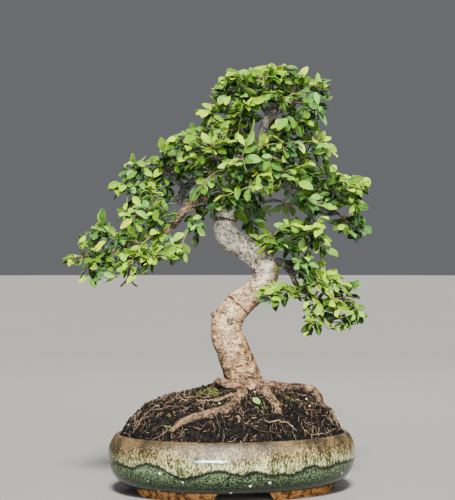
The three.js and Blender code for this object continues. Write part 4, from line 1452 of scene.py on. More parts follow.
@dataclass
class Layout:
    """Lays out the foliage as the frame has it, then fills it with finer shoots that cross nothing.

    Nothing reaches past low and high, two corners in the pot's millimetres. A carrier is thinner than the
    first of its limits and higher than the second. The shade is painted shade: how much darker each leaf
    above makes a leaf, and how many count; the tone is that of an open leaf, and the palest. Yellow is a
    leaf's chance,
    and its tone: a few open leaves turn yellow, partly as a painted glow of backlit leaves. The look is the
    way a
    spray faces: the middle, half the span and the most that it turns sideways, then how far to the front on
    the low left limb and elsewhere. Slim is the box of an extra leaf: its start, thickness and share of
    width.
    """

    low: np.ndarray
    high: np.ndarray
    sites: tuple[float, ...] = (0.14, 0.36, 0.58, 0.8, 1.0)
    lengths: Pair = (14, 18)
    slimness: Pair = (0.56, 0.66)
    trim: float = 0.85
    droop: Pair = (0.02, 0.18)
    tries: int = 8
    spiral: float = 2.4
    arch: float = 0.12
    bark_slack: float = 0.4
    stem_radius: float = 1.7
    twig_radius: float = 1.3
    leafy_reach: float = 38.0
    extra_sites: tuple[float, ...] = (0.25, 0.5, 0.75, 1.0)
    extra_shoots: int = 15
    extra_tries: int = 4
    extra_reach: Pair = (7, 24)
    extra_lengths: Pair = (10, 18.5)
    extra_slimness: Pair = (0.36, 0.52)
    extra_tilt: float = 0.95
    gap_tries: int = 1500
    gap_reach: float = 12.0
    gap_limit: float = 30.0
    carrier_limits: Pair = (6.0, 160.0)
    carrier_step: float = 5.0
    shade_span: Pair = (4.0, 60.0)
    shade_reach: float = 7.5
    shade: Pair = (0.16, 3.5)
    tone: Pair = (0.63, 0.82)
    tone_spread: float = 0.18
    young_tone: float = 0.08
    yellow: Pair = (0.05, 0.92)
    look_across: tuple[float, float, float] = (15.0, 120.0, 0.5)
    look_front: Pair = (0.35, 0.72)
    look_up: float = 0.55
    left_limb: float = -75.0
    back_from: float = 22.0
    leaf_angle: float = 0.95
    slim: tuple[float, float, float] = (0.35, 0.1, 0.7)
    paths: dict[str, Path] = field(default_factory=dict)
    sprays: list[Spray] = field(default_factory=list)
    canopy: Canopy = field(default_factory=Canopy)
    outline: Outline = field(default_factory=Outline.traced)

    def build(self) -> "Layout":
        """Lays everything out and returns the layout itself."""
        self.paths = {"trunk": Path(TRUNK), **{name: Path(rows) for name, rows in BRANCHES.items()}}
        for path in self.paths.values():
            steps = 2 * (len(path.rows) - 1)
            points = path.evenly(steps)
            for step, (start, end) in enumerate(zip(points, points[1:])):
                self.canopy.add(Box.along(start, end, path.radius(step / steps) + self.bark_slack), Kind.WOOD)
        self.sprays = [self.lay_twigs(row, index) for index, row in enumerate(SPRAYS)]
        for spray in self.sprays:
            stem = spray.twigs[0].stem
            for start, end in zip(stem, stem[1:]):
                self.canopy.add(Box.along(start, end, self.stem_radius), Kind.WOOD)
            for twig in spray.twigs:
                for box in twig.boxes(self.twig_radius):
                    self.canopy.add(box, Kind.TWIG, spray.index)
        for lay_leaves in (self.lay_frame_leaves, self.fill):
            for spray in self.sprays:
                count = len(spray.leaves)
                lay_leaves(spray)
                self.outline.cover(spray.leaves[count:])
        self.close_gaps()
        self.paint_leaf_shade()
        LOG.info("leaves: %d", sum(len(spray.leaves) for spray in self.sprays))
        return self

    def close_gaps(self) -> None:
        """Adds short leafy shoots where the foliage still shows a gap that the photograph doesn't."""
        dice = Dice(SEED - SEED_STEP)
        places, owners = self.carrier_points()
        back = Matrix.Rotation(-VIEW.turn, 3, "Z")
        eye = np.array(back @ VIEW.eye())
        for turn in range(self.gap_tries):
            pixel = self.outline.gap(dice)
            if pixel is None:
                return
            ray = np.array(back @ VIEW.ray(pixel))
            nearest = eye + ((places - eye) @ ray)[:, None] * ray
            apart = np.linalg.norm(places - nearest, axis=1)
            near = np.flatnonzero(apart < max(self.gap_reach, apart.min() + 1))
            pick = near[int(dice.next() * len(near))]
            self.outline.covered[pixel[1] - 1: pixel[1] + 2, pixel[0] - 1: pixel[0] + 2] = True
            if apart[pick] > self.gap_limit:
                continue
            tip = nearest[pick] + dice.bend(2.0) - ray * dice.between((3, 12))
            tip += unit(places[pick] - nearest[pick]) * 5.0
            look = unit(np.array([dice.around(0.35), -0.8, dice.between((0.1, 1.2))]))
            spray = self.sprays[owners[pick]]
            count = len(spray.leaves)
            self.fill_shoot(spray, Twig.laid(places[pick], tip, 0, self.arch), 100000 + turn, look)
            self.outline.cover(spray.leaves[count:])

    def carrier_points(self) -> tuple[np.ndarray, np.ndarray]:
        """Returns points along the thinner branches and the twigs, and the spray that each belongs to."""
        feet = np.array([spray.twigs[0].stem[0] for spray in self.sprays])
        found = []
        thickest, lowest = self.carrier_limits
        for name, path in self.paths.items():
            if name not in BARE_BRANCHES:
                for place, radius in zip(*path.samples(self.carrier_step)):
                    if radius < thickest and place[2] > lowest:
                        found.append((place, int(np.argmin(np.linalg.norm(feet - place, axis=1)))))
        for spray in self.sprays:
            for twig in spray.twigs:
                found += [(twig.place(share)[0], spray.index) for share in (0.1, 0.35, 0.6, 0.85)]
        places, owners = zip(*found)
        return np.array(places), np.array(owners)

    def paint_leaf_shade(self) -> None:
        """Gives every leaf its tone, with painted shade: the more leaves lie over it on its most open side,
        the darker.
        """
        leaves = [leaf for spray in self.sprays for leaf in spray.leaves]
        centres = np.array([leaf.base + leaf.along * (0.55 * leaf.length) for leaf in leaves])
        least = np.full(len(leaves), np.inf)
        for course in np.array([(0, 0, 1), (0, -0.8, 0.6), (0, 0.8, 0.6)]):
            along = centres @ course
            flat = centres - along[:, None] * course
            for index in range(len(leaves)):
                ahead = along - along[index]
                apart = np.linalg.norm(flat - flat[index], axis=1)
                near, far = self.shade_span
                over = ((ahead > near) & (ahead < far) & (apart < self.shade_reach)).sum()
                least[index] = min(least[index], over)
        counts = iter(least)
        for spray in self.sprays:
            for leaf in spray.leaves:
                leaf.tone = self.tone_of(spray, next(counts))

    def lay_twigs(self, row: tuple, index: int) -> Spray:
        """Lays the twig of one spray and, on some, its side shoot.

        Args:
            row: The spray's row of SPRAYS.
            index: The row's number.

        Returns:
            The spray, without leaves.
        """
        name, share, *tips = row
        foot = self.paths[name].point(share)
        main = Twig.laid(foot, np.array(tips[0], float), self.leafy_reach, self.arch)
        fork = main.place(0.3)[0]
        shoots = [Twig.laid(fork, np.array(tip, float), 0, 0.5 * self.arch) for tip in tips[1:]]
        right, back, _ = main.points[1]
        middle, half_span, most = self.look_across
        out = most * min(max((right - middle) / half_span, -1), 1)
        front = self.look_front[0] if right < self.left_limb else self.look_front[1]
        look = unit(np.array([out, front if back > self.back_from else -front, self.look_up]))
        return Spray(index, [main, *shoots], look, Dice(SEED + SEED_STEP * index))

    def draw_leaf(
        self, spray: Spray, twig: Twig, share: float, turn: float, side: int,
        lengths: Sequence[float], slimness: Sequence[float], look: np.ndarray, tilt: float = 0.5,
    ) -> Leaf:
        """Draws one leaf at its site. Leaves alternate along a twig and face the way their spray looks.

        Args:
            spray: The spray that it belongs to.
            twig: The twig that carries it.
            share: How far along the twig it stands.
            turn: Its turn round a twig that points the way the spray looks.
            side: 1 or -1 for the twig's two sides, or 0 at its tip.
            lengths: The shortest and longest leaf.
            slimness: The least and greatest width as a share of its length.
            look: The way its face looks.
            tilt: How far its face may turn from that.

        Returns:
            The leaf.
        """
        dice = spray.dice
        base, heading = twig.place(share)
        spread = cross(heading, look)
        level = unit(cross(np.array([0.0, 0.0, 1.0]), look))
        rest = 1 - np.linalg.norm(spread)
        across = unit(spread * (side or 1) + level * (rest * math.cos(turn))
                      + cross(look, level) * (rest * math.sin(turn)))
        angle = (0 if side == 0 else self.leaf_angle) + dice.around(0.3)
        along = heading * math.cos(angle) + across * math.sin(angle)
        along = unit(along + look * (dice.around(0.4) - 0.7 * along.dot(look)))
        normal = look + dice.bend(tilt)
        normal = unit(normal - along * normal.dot(along))
        length = dice.between(lengths) * (0.86 + 0.14 * share)
        width = length * dice.between(slimness)
        return Leaf(base, along, normal, length, width, dice.between(self.droop))

    def lay_frame_leaves(self, spray: Spray) -> None:
        """Lays the leaves that the frame has on one spray."""
        for number, twig in enumerate(spray.twigs):
            for count, share in enumerate(self.sites[2 * number:], number):
                side = 0 if share == 1 else (-1) ** (count + spray.index)
                for _ in range(self.tries):
                    turn, sizes = self.spiral * count, (self.lengths, self.slimness)
                    leaf = self.draw_leaf(spray, twig, share, turn, side, *sizes, spray.look)
                    if self.is_clear(leaf, spray.index):
                        spray.leaves.append(leaf)
                        self.canopy.add(leaf.box(0), Kind.WHOLE_LEAF, spray.index)
                        self.canopy.add(leaf.box(self.slim[0]), Kind.OUTER_LEAF, spray.index)
                        leaf.width *= self.trim
                        break

    def is_clear(self, leaf: Leaf, owner: int) -> bool:
        """Says whether a leaf of the frame crosses no wood and no other leaf or twig than its own spray's.

        Args:
            leaf: The leaf.
            owner: The number of its spray.

        Returns:
            True where it is clear.
        """
        own, twigs = self.canopy.owned(owner), self.canopy.is_kind(Kind.TWIG)
        others = self.canopy.is_kind(Kind.WOOD) | ~own & (twigs | self.canopy.is_kind(Kind.WHOLE_LEAF))
        mates = own & (twigs | self.canopy.is_kind(Kind.OUTER_LEAF))
        outer = leaf.box(self.slim[0])
        return not self.canopy.hits(leaf.box(0), others) and not self.canopy.hits(outer, mates)

    def tone_of(self, spray: Spray, over: float) -> float:
        """Draws a leaf's tone from 0, dark, to 1, yellow; every leaf over it darkens it as painted shade.

        Args:
            spray: The spray that it belongs to.
            over: How many leaves stand over it.

        Returns:
            The tone.
        """
        young = self.young_tone if spray.is_young() else 0.0
        chance, yellow = self.yellow
        # Only open leaves are yellowed: partly yellowing leaves, partly a painted glow of backlit leaves.
        if over < 1.5 and spray.dice.next() < chance:
            return yellow
        (open_tone, most), (fall, deepest) = self.tone, self.shade
        # Painted shade: each leaf over this one makes it darker.
        tone = open_tone + young - fall * min(over, deepest) + spray.dice.around(self.tone_spread)
        return min(max(tone, 0.0), most)

    def fill(self, spray: Spray) -> None:
        """Adds finer shoots and their leaves along a spray."""
        owner = 1000 * (spray.index + 1)
        for carrier, count in self.carriers(spray):
            for step in range(count):
                owner += 1
                share = (step + 0.5 + spray.dice.around(0.4)) / count
                base, heading = carrier.place(min(max(share, 0.02), 0.97))
                away = unit(cross(heading, spray.look)) * (-1) ** step
                lean = spray.look * spray.dice.around(0.9) + spray.dice.bend(0.4)
                course = unit(heading * spray.dice.between((0.2, 0.9)) + away * 0.8 + lean)
                reach = spray.dice.between(self.extra_reach)
                shoot = Twig.laid(base, base + course * reach, 0, 0.1)
                look = unit(spray.look + np.array([0, 0, spray.dice.between((0.1, 2.2))]))
                self.fill_shoot(spray, shoot, owner, look)

    def carriers(self, spray: Spray) -> list[tuple[Twig, int]]:
        """Returns what carries finer shoots on a spray, and how many each is to have.

        Args:
            spray: The spray.

        Returns:
            Each carrier and its number of shoots.
        """
        found = list(zip(spray.twigs, (self.extra_shoots, self.extra_shoots // 2)))
        stem = spray.twigs[0].stem
        length = np.linalg.norm(stem[-1] - stem[0])
        if length > 10:
            found.append((Twig([], stem, spray.twigs[0].ahead), int(length / 5)))
        return found

    def fill_shoot(self, spray: Spray, shoot: Twig, owner: int, look: np.ndarray) -> None:
        """Adds one finer shoot to a spray, with its leaves. A shoot without leaves is left out.

        Args:
            spray: The spray that it belongs to.
            shoot: The shoot, which is cut back to its last leaf.
            owner: The number that its boxes are kept under.
            look: The way its leaves' faces look.
        """
        if not self.reaches(shoot.points[-1]):
            return
        last = 0.0
        for step, share in enumerate(self.extra_sites):
            side, turn = 0 if share == 1 else (-1) ** step, self.spiral * step
            sizes = (self.extra_lengths, self.extra_slimness)
            for _ in range(self.extra_tries):
                leaf = self.draw_leaf(spray, shoot, share, turn, side, *sizes, look, self.extra_tilt)
                slim = leaf.box(*self.slim)
                others = self.canopy.is_kind(Kind.WOOD, Kind.OUTER_LEAF)
                others |= self.canopy.is_kind(Kind.TWIG) & ~self.canopy.owned(spray.index)
                if self.outline.allows(leaf) and self.is_inside(leaf) and not self.canopy.hits(slim, others):
                    leaf.fold = 0.2 + 0.25 * spray.dice.next()
                    spray.leaves.append(leaf)
                    self.canopy.add(slim, Kind.OUTER_LEAF, owner)
                    last = share
                    break
        if last:
            shoot.points = [shoot.place(last * at)[0] for at in (0.0, 0.34, 0.67, 1.0)]
            spray.shoots.append(shoot)

    def reaches(self, place: np.ndarray, margin: float = 0.6) -> bool:
        """Says whether a place of the tree lies a margin inside the two corners."""
        turned = np.array(VIEW.turned(Vector(place)))
        return bool((turned > self.low + margin).all() and (turned < self.high - margin).all())

    def is_inside(self, leaf: Leaf) -> bool:
        """Says whether a leaf keeps inside the two corners, with the tree turned on the pot.

        Args:
            leaf: The leaf.

        Returns:
            True where it does.
        """
        box = leaf.box(0)
        turned = np.array(Matrix.Rotation(VIEW.turn, 3, "Z"))
        centre = turned @ box.centre
        reach = np.abs(turned @ box.axes.T) @ box.half
        return bool((centre - reach >= self.low).all() and (centre + reach <= self.high).all())


@dataclass
class LeafBlade:
    """The blade that every leaf is bent from: a short stalk, a broad middle and a blunt tip.

    Each station is how far along the blade it is, and how wide the blade is there.
    """

    stations: Line = (
        (0.0, 0.06), (0.09, 0.09), (0.19, 0.5), (0.33, 0.86), (0.5, 1.0), (0.67, 0.94), (0.82, 0.7),
        (0.935, 0.36), (1.0, 0.0),
    )
    thickness: float = 0.36
    twist: float = 0.35
    wave: float = 0.035
    waves: float = 1.6
    sweep: float = 0.05
    table: np.ndarray = field(init=False)
    flat: Mesh = field(init=False)

    def __post_init__(self) -> None:
        """Builds the flat blade once, and keeps each vertex's column, side and level."""
        bm = bmesh.new()
        columns = len(self.stations) - 1
        verts = bmesh.ops.create_grid(bm, x_segments=columns, y_segments=2, size=1.0)["verts"]
        for vert in verts:
            vert.co = (round(0.5 * (vert.co.x + 1) * columns), round(vert.co.y), 0.0)
        tip = [vert for vert in verts if vert.co.x > columns - 0.5]
        bmesh.ops.pointmerge(bm, verts=tip, merge_co=Vector((columns, 0.0, 0.0)))
        bmesh.ops.solidify(bm, geom=list(bm.faces), thickness=1.0)
        bmesh.ops.recalc_face_normals(bm, faces=bm.faces)
        heights = [vert.co.z for vert in bm.verts]
        middle = 0.5 * (min(heights) + max(heights))
        self.table = np.array([(round(vert.co.x), round(vert.co.y), vert.co.z - middle) for vert in bm.verts])
        rim, below = bm.verts.layers.float.new("rim"), bm.verts.layers.float.new("below")
        chart = bm.loops.layers.uv.new("leaf")
        for vert, (column, across, level) in zip(bm.verts, self.table):
            vert[rim] = 1.0 if column == columns else abs(across)
            vert[below] = 1.0 if level < 0 else 0.0
            for loop in vert.link_loops:
                loop[chart].uv = (self.stations[int(column)][0], 0.5 + 0.5 * across)
        smooth_all(bm)
        for edge in bm.edges:
            first, second = (self.table[vert.index] for vert in edge.verts)
            outer = all(vert[rim] > 0.5 or self.table[vert.index][0] == 0 for vert in edge.verts)
            edge.smooth = not (outer and abs(first[2] - second[2]) < 0.1)
        self.flat = mesh_of("leaf_blade", bm)

    def bend(self, leaves: Sequence[Leaf], dice: Dice) -> np.ndarray:
        """Bends a copy of the blade into each leaf.

        Args:
            leaves: The leaves.
            dice: Draws each leaf's twist and waves.

        Returns:
            The places of their vertices, as leaves by vertices by three.
        """
        draws = np.array([[dice.around(1), dice.next(), dice.around(1)] for _ in leaves])
        twist, phase, sweep = (draws[:, column, None, None] for column in range(3))
        base = np.array([leaf.base for leaf in leaves])[:, None, :]
        ahead = np.array([leaf.along for leaf in leaves])[:, None, :]
        side = np.array([leaf.side() for leaf in leaves])[:, None, :]
        face = np.array([leaf.normal for leaf in leaves])[:, None, :]
        length, width, fold, droop = (
            np.array([getattr(leaf, name) for leaf in leaves])[:, None, None]
            for name in ("length", "width", "fold", "droop")
        )
        stations = np.array(self.stations)[self.table[:, 0].astype(int)]
        u, half = stations[None, :, 0, None], stations[None, :, 1, None]
        v, level = self.table[None, :, 1, None], self.table[None, :, 2, None]
        angle = self.twist * twist * u
        turned_side = side * np.cos(angle) + face * np.sin(angle)
        turned_face = face * np.cos(angle) - side * np.sin(angle)
        spread = 0.5 * v * half * width
        waves = self.wave * length * np.sin(2 * math.pi * (self.waves * u + phase)) * np.abs(v) * half
        lift = np.abs(spread) * np.sin(fold) - droop * length * u * u + waves + level * self.thickness
        sway = self.sweep * sweep * length * np.sin(math.pi * u)
        return (base + ahead * (u * length) + turned_side * (spread * np.cos(fold) + sway)
                + turned_face * lift)

    def leafy_mesh(
        self, leaves: Sequence[Leaf], grow_shoots: Callable[[BMesh], None], dice: Dice,
        keep: Callable[[np.ndarray], np.ndarray] = lambda places: places,
    ) -> Mesh:
        """Builds leaves and the shoots that carry them.

        Args:
            leaves: The leaves.
            grow_shoots: Adds the shoots to the shape that it is given.
            dice: Draws each leaf's twist and waves.
            keep: Mends the places of the leaves' vertices.

        Returns:
            The mesh, with leaves in material 0 and shoots in material 1.
        """
        bm = bmesh.new()
        for _ in leaves:
            bm.from_mesh(self.flat)
        bm.verts.layers.float.new("young")
        grow_shoots(bm)
        mesh = mesh_of("leafy", bm)
        places = places_of(mesh)
        bent = keep(self.bend(leaves, dice)).reshape(-1, 3)
        places[: len(bent)] = bent
        put_places(mesh, places)
        tones = np.zeros(len(places))
        tones[: len(bent)] = np.repeat([leaf.tone for leaf in leaves], len(self.table))
        numbers_on(mesh, "tone", tones)
        return mesh


@dataclass
class Foliage:
    """All the leafy sprays: every shoot with its leaves is one piece that stands for the frame's spray."""

    layout: Layout
    setting: Setting
    blade: LeafBlade = field(default_factory=LeafBlade)
    leaf_finish: LeafFinish = field(default_factory=LeafFinish)
    young_finish: LeafFinish = field(default_factory=lambda: LeafFinish("young_elm_leaf", cool=0.0))
    shoot_finish: ShootFinish = field(default_factory=ShootFinish)
    neck: float = 0.4
    steps: int = 6

    def build(self) -> None:
        """Builds and dresses every spray."""
        finishes = (self.leaf_finish, self.young_finish, self.shoot_finish)
        leaf, young, shoot = (finish.material() for finish in finishes)
        for spray in self.layout.sprays:
            dice = Dice(SEED + spray.index)
            mesh = self.blade.leafy_mesh(
                spray.leaves, lambda bm, spray=spray: self.grow_shoots(bm, spray), dice, self.kept_inside,
            )
            materials, slot = ([young, shoot], "young_leaf") if spray.is_young() else ([leaf, shoot], "leaf")
            node = f"spray_{spray.index + 1:02d}"
            add_piece(f"leafy_{node}", mesh, self.setting.tree(), materials, [node])

    def grow_shoots(self, bm: BMesh, spray: Spray) -> None:
        """Adds a spray's twigs and finer shoots to a shape.

        Args:
            bm: The shape.
            spray: The spray.
        """
        tender = 0.45 if spray.is_young() else 0.15
        main, *side_shoots = spray.twigs
        points = [main.points[0] - self.neck * main.ahead, *main.points[1:]]
        self.grow(bm, points, (1.25, 0.6), (0.05, tender + 0.35), 7)
        for twig in side_shoots:
            self.grow(bm, twig.points, (0.95, 0.55), (0.05, tender + 0.35), 7)
        for shoot in spray.shoots:
            self.grow(bm, shoot.points, (0.55, 0.36), (tender, tender + 0.5), 5)

    def grow(self, bm: BMesh, points: Sequence[np.ndarray], thick: Pair, young: Pair, sides: int) -> None:
        """Grows a shoot through points.

        Args:
            bm: The shape that it is added to.
            points: The points that it passes.
            thick: Its radius at its foot and its tip.
            young: How young it is at its foot and its tip.
            sides: How many sides it has.
        """
        shares = [step / self.steps for step in range(self.steps + 1)]
        radii, ages = ([ends[0] + (ends[1] - ends[0]) * share for share in shares] for ends in (thick, young))
        grow_tube(bm, Path(points).evenly(self.steps), radii, sides, {"young": ages}, material=1)

    def kept_inside(self, leaves: np.ndarray) -> np.ndarray:
        """Draws in the few leaves that would reach past the frame's own foliage.

        Args:
            leaves: The places of their vertices in the tree's millimetres, as leaves by vertices by three.

        Returns:
            The places, none of them outside.
        """
        turned = np.array(Matrix.Rotation(self.setting.turn, 3, "Z"))
        for leaf in leaves:
            foot = leaf[0].copy()
            for _ in range(12):
                there = leaf @ turned.T
                if (there >= self.layout.low).all() and (there <= self.layout.high).all():
                    break
                leaf[:] = foot + 0.97 * (leaf - foot)
        return leaves


@dataclass
class Limb:
    """A path sampled for its skin: points, radii, how far along each is, and how hard it bends there."""

    points: list[np.ndarray]
    radii: list[float]
    warmth: list[float]
    arcs: np.ndarray
    bends: list[Vector]
    rough: float
    span: ClassVar[int] = 3

    @classmethod
    def sampled(cls, path: Path, step: float, warmth: Callable[[float], float], rough: float) -> "Limb":
        """Samples a path.

        Args:
            path: The path.
            step: About how far apart the samples are.
            warmth: Gives how warm the bark is, from 0 to 1, at a share of the path.
            rough: How knobbly it is, where 1 is the trunk.

        Returns:
            The limb.
        """
        points, radii = path.samples(step)
        places = np.array(points)
        lengths = np.linalg.norm(np.diff(places, axis=0), axis=1)
        arcs = np.concatenate([[0.0], np.cumsum(lengths)])
        bends = []
        for index, place in enumerate(places):
            before, after = index - cls.span, index + cls.span
            if before < 0 or after >= len(points):
                bends.append(Vector((0, 0, 0)))
                continue
            gap = 0.5 * (arcs[after] - arcs[before])
            bends.append(Vector((places[before] - 2 * place + places[after]) / (gap * gap) * radii[index]))
        warm = [warmth(index / (len(points) - 1)) for index in range(len(points))]
        return cls(points, radii, warm, arcs, bends, rough)


@dataclass
class Wood:
    """Trunk, surface roots, branches, dead twigs and the stems of the shoots, grown as one piece."""

    layout: Layout
    setting: Setting
    voxel: float = 0.85
    step: float = 1.5
    scar_rows: Line = ((3.1, 0.45), (6.9, 1.1), (14.4, 1.4))
    finish: BarkFinish = field(default_factory=BarkFinish)
    warmths: dict[str, float] = field(default_factory=lambda: {
        "low_left": 0.8, "high_left": 0.12, "high_left_fork": 0.3, "right": 0.3, "low_right": 0.45,
        "dead_fork": 0.7, "dead_twig": 0.7, "nub": 0.75,
    })
    trunk_warmth: Line = (
        (0, 0.9), (2, 0.8), (4, 0.52), (6, 0.42), (8, 0.5), (10, 0.16), (14, 0.15), (17, 0.2), (22, 0.5),
    )
    full_radius: float = 14.0
    creases: float = 4.6
    foot_top: float = 126.0
    foot_height: float = 34.0
    thin_steps: int = 8

    def build(self) -> None:
        """Builds and dresses the wood."""
        rough, skin = self.rough_body()
        modifiers = [
            ("REMESH", {"mode": "VOXEL", "voxel_size": self.voxel, "use_smooth_shade": True}),
            ("SMOOTH", {"factor": 0.5, "iterations": 3}),
            ("DECIMATE", {"ratio": 0.72}),
        ]
        mesh = settled(mesh_of("trunk_and_branches", rough), modifiers)
        bm = bmesh.new()
        bm.from_mesh(mesh)
        bpy.data.meshes.remove(mesh)
        self.carry_skin(bm, skin)
        self.grow_thin(bm)
        smooth_all(bm)
        materials = [self.finish.material()]
        add_piece("trunk_and_branches", bm, self.setting.tree(), materials, ["tree_wood"])

    def limbs(self) -> list[tuple[Limb, int]]:
        """Returns every limb that is thick enough to be blended into the next, with its number of sides."""
        rows, warm = zip(*self.trunk_warmth)
        last = len(TRUNK) - 1
        found = [(Path(TRUNK), lambda share: float(np.interp(share * last, rows, warm)), 1.0, 48)]
        for name, branch in BRANCHES.items():
            if name not in DEAD_TWIGS:
                warmth = self.warmths.get(name, 0.45)
                found.append((Path(branch), lambda share, warmth=warmth: warmth, 1.3, 18))
        found += [(Path(root), lambda share: 0.7, 2.8, 22) for root in ROOTS.values()]
        return [(Limb.sampled(path, self.step, warmth, rough), sides) for path, warmth, rough, sides in found]

    def rough_body(self) -> tuple[BMesh, tuple[KDTree, np.ndarray]]:
        """Grows every thick limb with its bark's relief.

        Returns:
            The overlapping limbs, and a finder of the nearest point of their skin with what each carries.
        """
        bm = bmesh.new()
        for name in CARRIED:
            bm.verts.layers.float.new(name)
        for number, (limb, sides) in enumerate(self.limbs()):
            scars = self.scar_arcs(limb) if number == 0 else []
            thick = [min(radius / self.full_radius, 1) for radius in limb.radii]
            grow_tube(
                bm, limb.points, limb.radii, sides, {"thick": thick, "warm": limb.warmth},
                lambda index, out, place, limb=limb, scars=scars: self.relief(limb, scars, index, out, place),
            )
        layers = [bm.verts.layers.float[name] for name in CARRIED]
        finder = KDTree(len(bm.verts))
        skin = np.zeros((len(bm.verts), 3))
        for index, vert in enumerate(bm.verts):
            finder.insert(vert.co, index)
            skin[index] = [vert[layer] for layer in layers]
        finder.balance()
        return bm, (finder, skin)

    def scar_arcs(self, limb: Limb) -> list[Pair]:
        """Returns how far up the trunk its ring scars are, and how deep each is.

        Args:
            limb: The trunk.

        Returns:
            The distance and the depth of each.
        """
        last = len(TRUNK) - 1
        shares = np.linspace(0, 1, len(limb.arcs))
        return [(float(np.interp(row / last, shares, limb.arcs)), depth) for row, depth in self.scar_rows]

    def relief(
        self, limb: Limb, scars: Sequence[Pair], index: int, out: Vector, place: Vector,
    ) -> tuple[float, float, float]:
        """Gives the bark's relief at one point: lumps, folds inside the bends, ring scars and a fluted foot.

        Args:
            limb: The limb.
            scars: How far along it the ring scars are, and how deep each is.
            index: The sample's number.
            out: The way out from the middle of the limb.
            place: The point on the plain round skin.

        Returns:
            How much the skin is raised there, how creased it is, and how much warmer its bark is made, which
            on the thick trunk's left and right sides is painted shade.
        """
        radius = limb.radii[index]
        size = min(1.0, limb.rough * radius / 9.0)
        slow, quick = noise.noise(place / 12.0), noise.noise(place / 4.2)
        height = size * (0.95 * slow + (0.2 + 0.4 * limb.rough) * quick)
        inner = min(1.0, max(0.0, 2.4 * out.dot(limb.bends[index]) - 0.1))
        ripple = math.sin(2 * math.pi * limb.arcs[index] / self.creases + 4.0 * noise.noise(place / 9.0))
        fold = inner * max(0.0, ripple) ** 3
        height -= 0.95 * size * fold
        crease = fold
        for scar, depth in scars:
            groove = depth * math.exp(-(((limb.arcs[index] - scar) + 1.3 * slow) / 1.0) ** 2)
            lip = depth * math.exp(-((limb.arcs[index] - scar - 2.2 + 1.3 * slow) / 1.6) ** 2)
            height += 0.35 * lip - 0.7 * groove
            crease = max(crease, groove * min(1.0, 1.1 + 1.2 * quick))
        foot = min(1.0, max(0.0, (self.foot_top - place.z) / self.foot_height))
        if radius > 13 and foot:
            height += 1.5 * foot * math.sin(5 * math.atan2(out.y, out.x) + 2.4 * noise.noise(place / 22.0))
        # Warmer, darker bark towards the thick trunk's left and right sides: painted shade at its edges as
        # seen from the front.
        sideways = out.x * out.x if radius > 12 else 0.0
        return height, crease, 0.5 * sideways

    @staticmethod
    def carry_skin(bm: BMesh, skin: tuple[KDTree, np.ndarray]) -> None:
        """Gives the blended skin what the nearest point of the limbs carries.

        Args:
            bm: The blended mesh.
            skin: The finder, and what each of its points carries.
        """
        finder, numbers = skin
        layers = [bm.verts.layers.float.new(name) for name in CARRIED]
        for vert in bm.verts:
            row = numbers[finder.find(vert.co)[1]]
            for layer, value in zip(layers, row):
                vert[layer] = value

    def grow_thin(self, bm: BMesh) -> None:
        """Adds the stems of the sprays and the dead twigs, which are too thin to be blended.

        Args:
            bm: The shape that they are added to.
        """
        steps = range(self.thin_steps + 1)
        for spray in self.layout.sprays:
            twig = spray.twigs[0]
            path = Path([*twig.stem, twig.points[1]])
            share = (len(twig.stem) - 1) / len(twig.stem)
            points = [path.point(share * step / self.thin_steps) for step in steps]
            self.grow_bare(bm, points, [1.75 - 0.45 * step / self.thin_steps for step in steps], 0.35)
        for name in DEAD_TWIGS:
            self.grow_bare(bm, *self.layout.paths[name].samples(2.5), 0.7)

    def grow_bare(self, bm: BMesh, points: Sequence[np.ndarray], radii: Sequence[float], warm: float) -> None:
        """Grows one thin bare twig with small knots.

        Args:
            bm: The shape that it is added to.
            points: The points that it passes.
            radii: Its radius at each point.
            warm: How warm its bark is, from 0 to 1.
        """
        knots = [1 + 0.16 * noise.noise(Vector(point) / 2.6) for point in points]
        knotted = [radius * knot for radius, knot in zip(radii, knots)]
        carried = ([radius / self.full_radius for radius in radii], [warm] * len(points), [0.0] * len(points))
        grow_tube(bm, points, knotted, 8, dict(zip(CARRIED, carried)))


@dataclass(frozen=True)
class Oval:
    """The pot's ovals: between half a length and half a width there is always the same difference."""

    difference: float = 34.5
    knee: float = 60.0
    least: float = 1e-6

    def half_width(self, half_length: float) -> float:
        """Returns half the width of the oval of half a length."""
        if half_length > self.knee:
            return half_length - self.difference
        return half_length * (self.knee - self.difference) / self.knee

    def draw_out(self, bm: BMesh) -> None:
        """Draws a round lathed shape out to the pot's ovals."""
        for vert in bm.verts:
            half_length = math.hypot(vert.co.x, vert.co.y)
            if half_length > self.least:
                vert.co.y *= self.half_width(half_length) / half_length


OVAL = Oval()


def lathe(profile: Sequence[Pair], segments: int) -> BMesh:
    """Turns a half profile into a closed round shape.

    Args:
        profile: Points (half length, height), in order.
        segments: How many steps the full turn has.

    Returns:
        The shape, with its normals outwards.
    """
    bm = bmesh.new()
    verts = [bm.verts.new((reach, 0.0, up)) for reach, up in profile]
    edges = [bm.edges.new(pair) for pair in zip(verts, verts[1:])]
    bmesh.ops.spin(
        bm, geom=[*verts, *edges], cent=(0, 0, 0), axis=(0, 0, 1), angle=2 * math.pi, steps=segments,
        use_merge=True,
    )
    bmesh.ops.remove_doubles(bm, verts=bm.verts, dist=1e-4)
    bmesh.ops.recalc_face_normals(bm, faces=bm.faces)
    smooth_all(bm)
    return bm


def rounded(rows: Sequence[Pair], steps: int, widest: float) -> list[Pair]:
    """Rounds a profile.

    Args:
        rows: Points (half length, height).
        steps: How many points each stretch gets.
        widest: The greatest half length that the result may reach.

    Returns:
        Points of a smooth curve through the rows.
    """
    path = Path([(reach, 0.0, up) for reach, up in rows])
    return [(min(float(point[0]), widest), float(point[2])) for point in path.evenly(steps * (len(rows) - 1))]


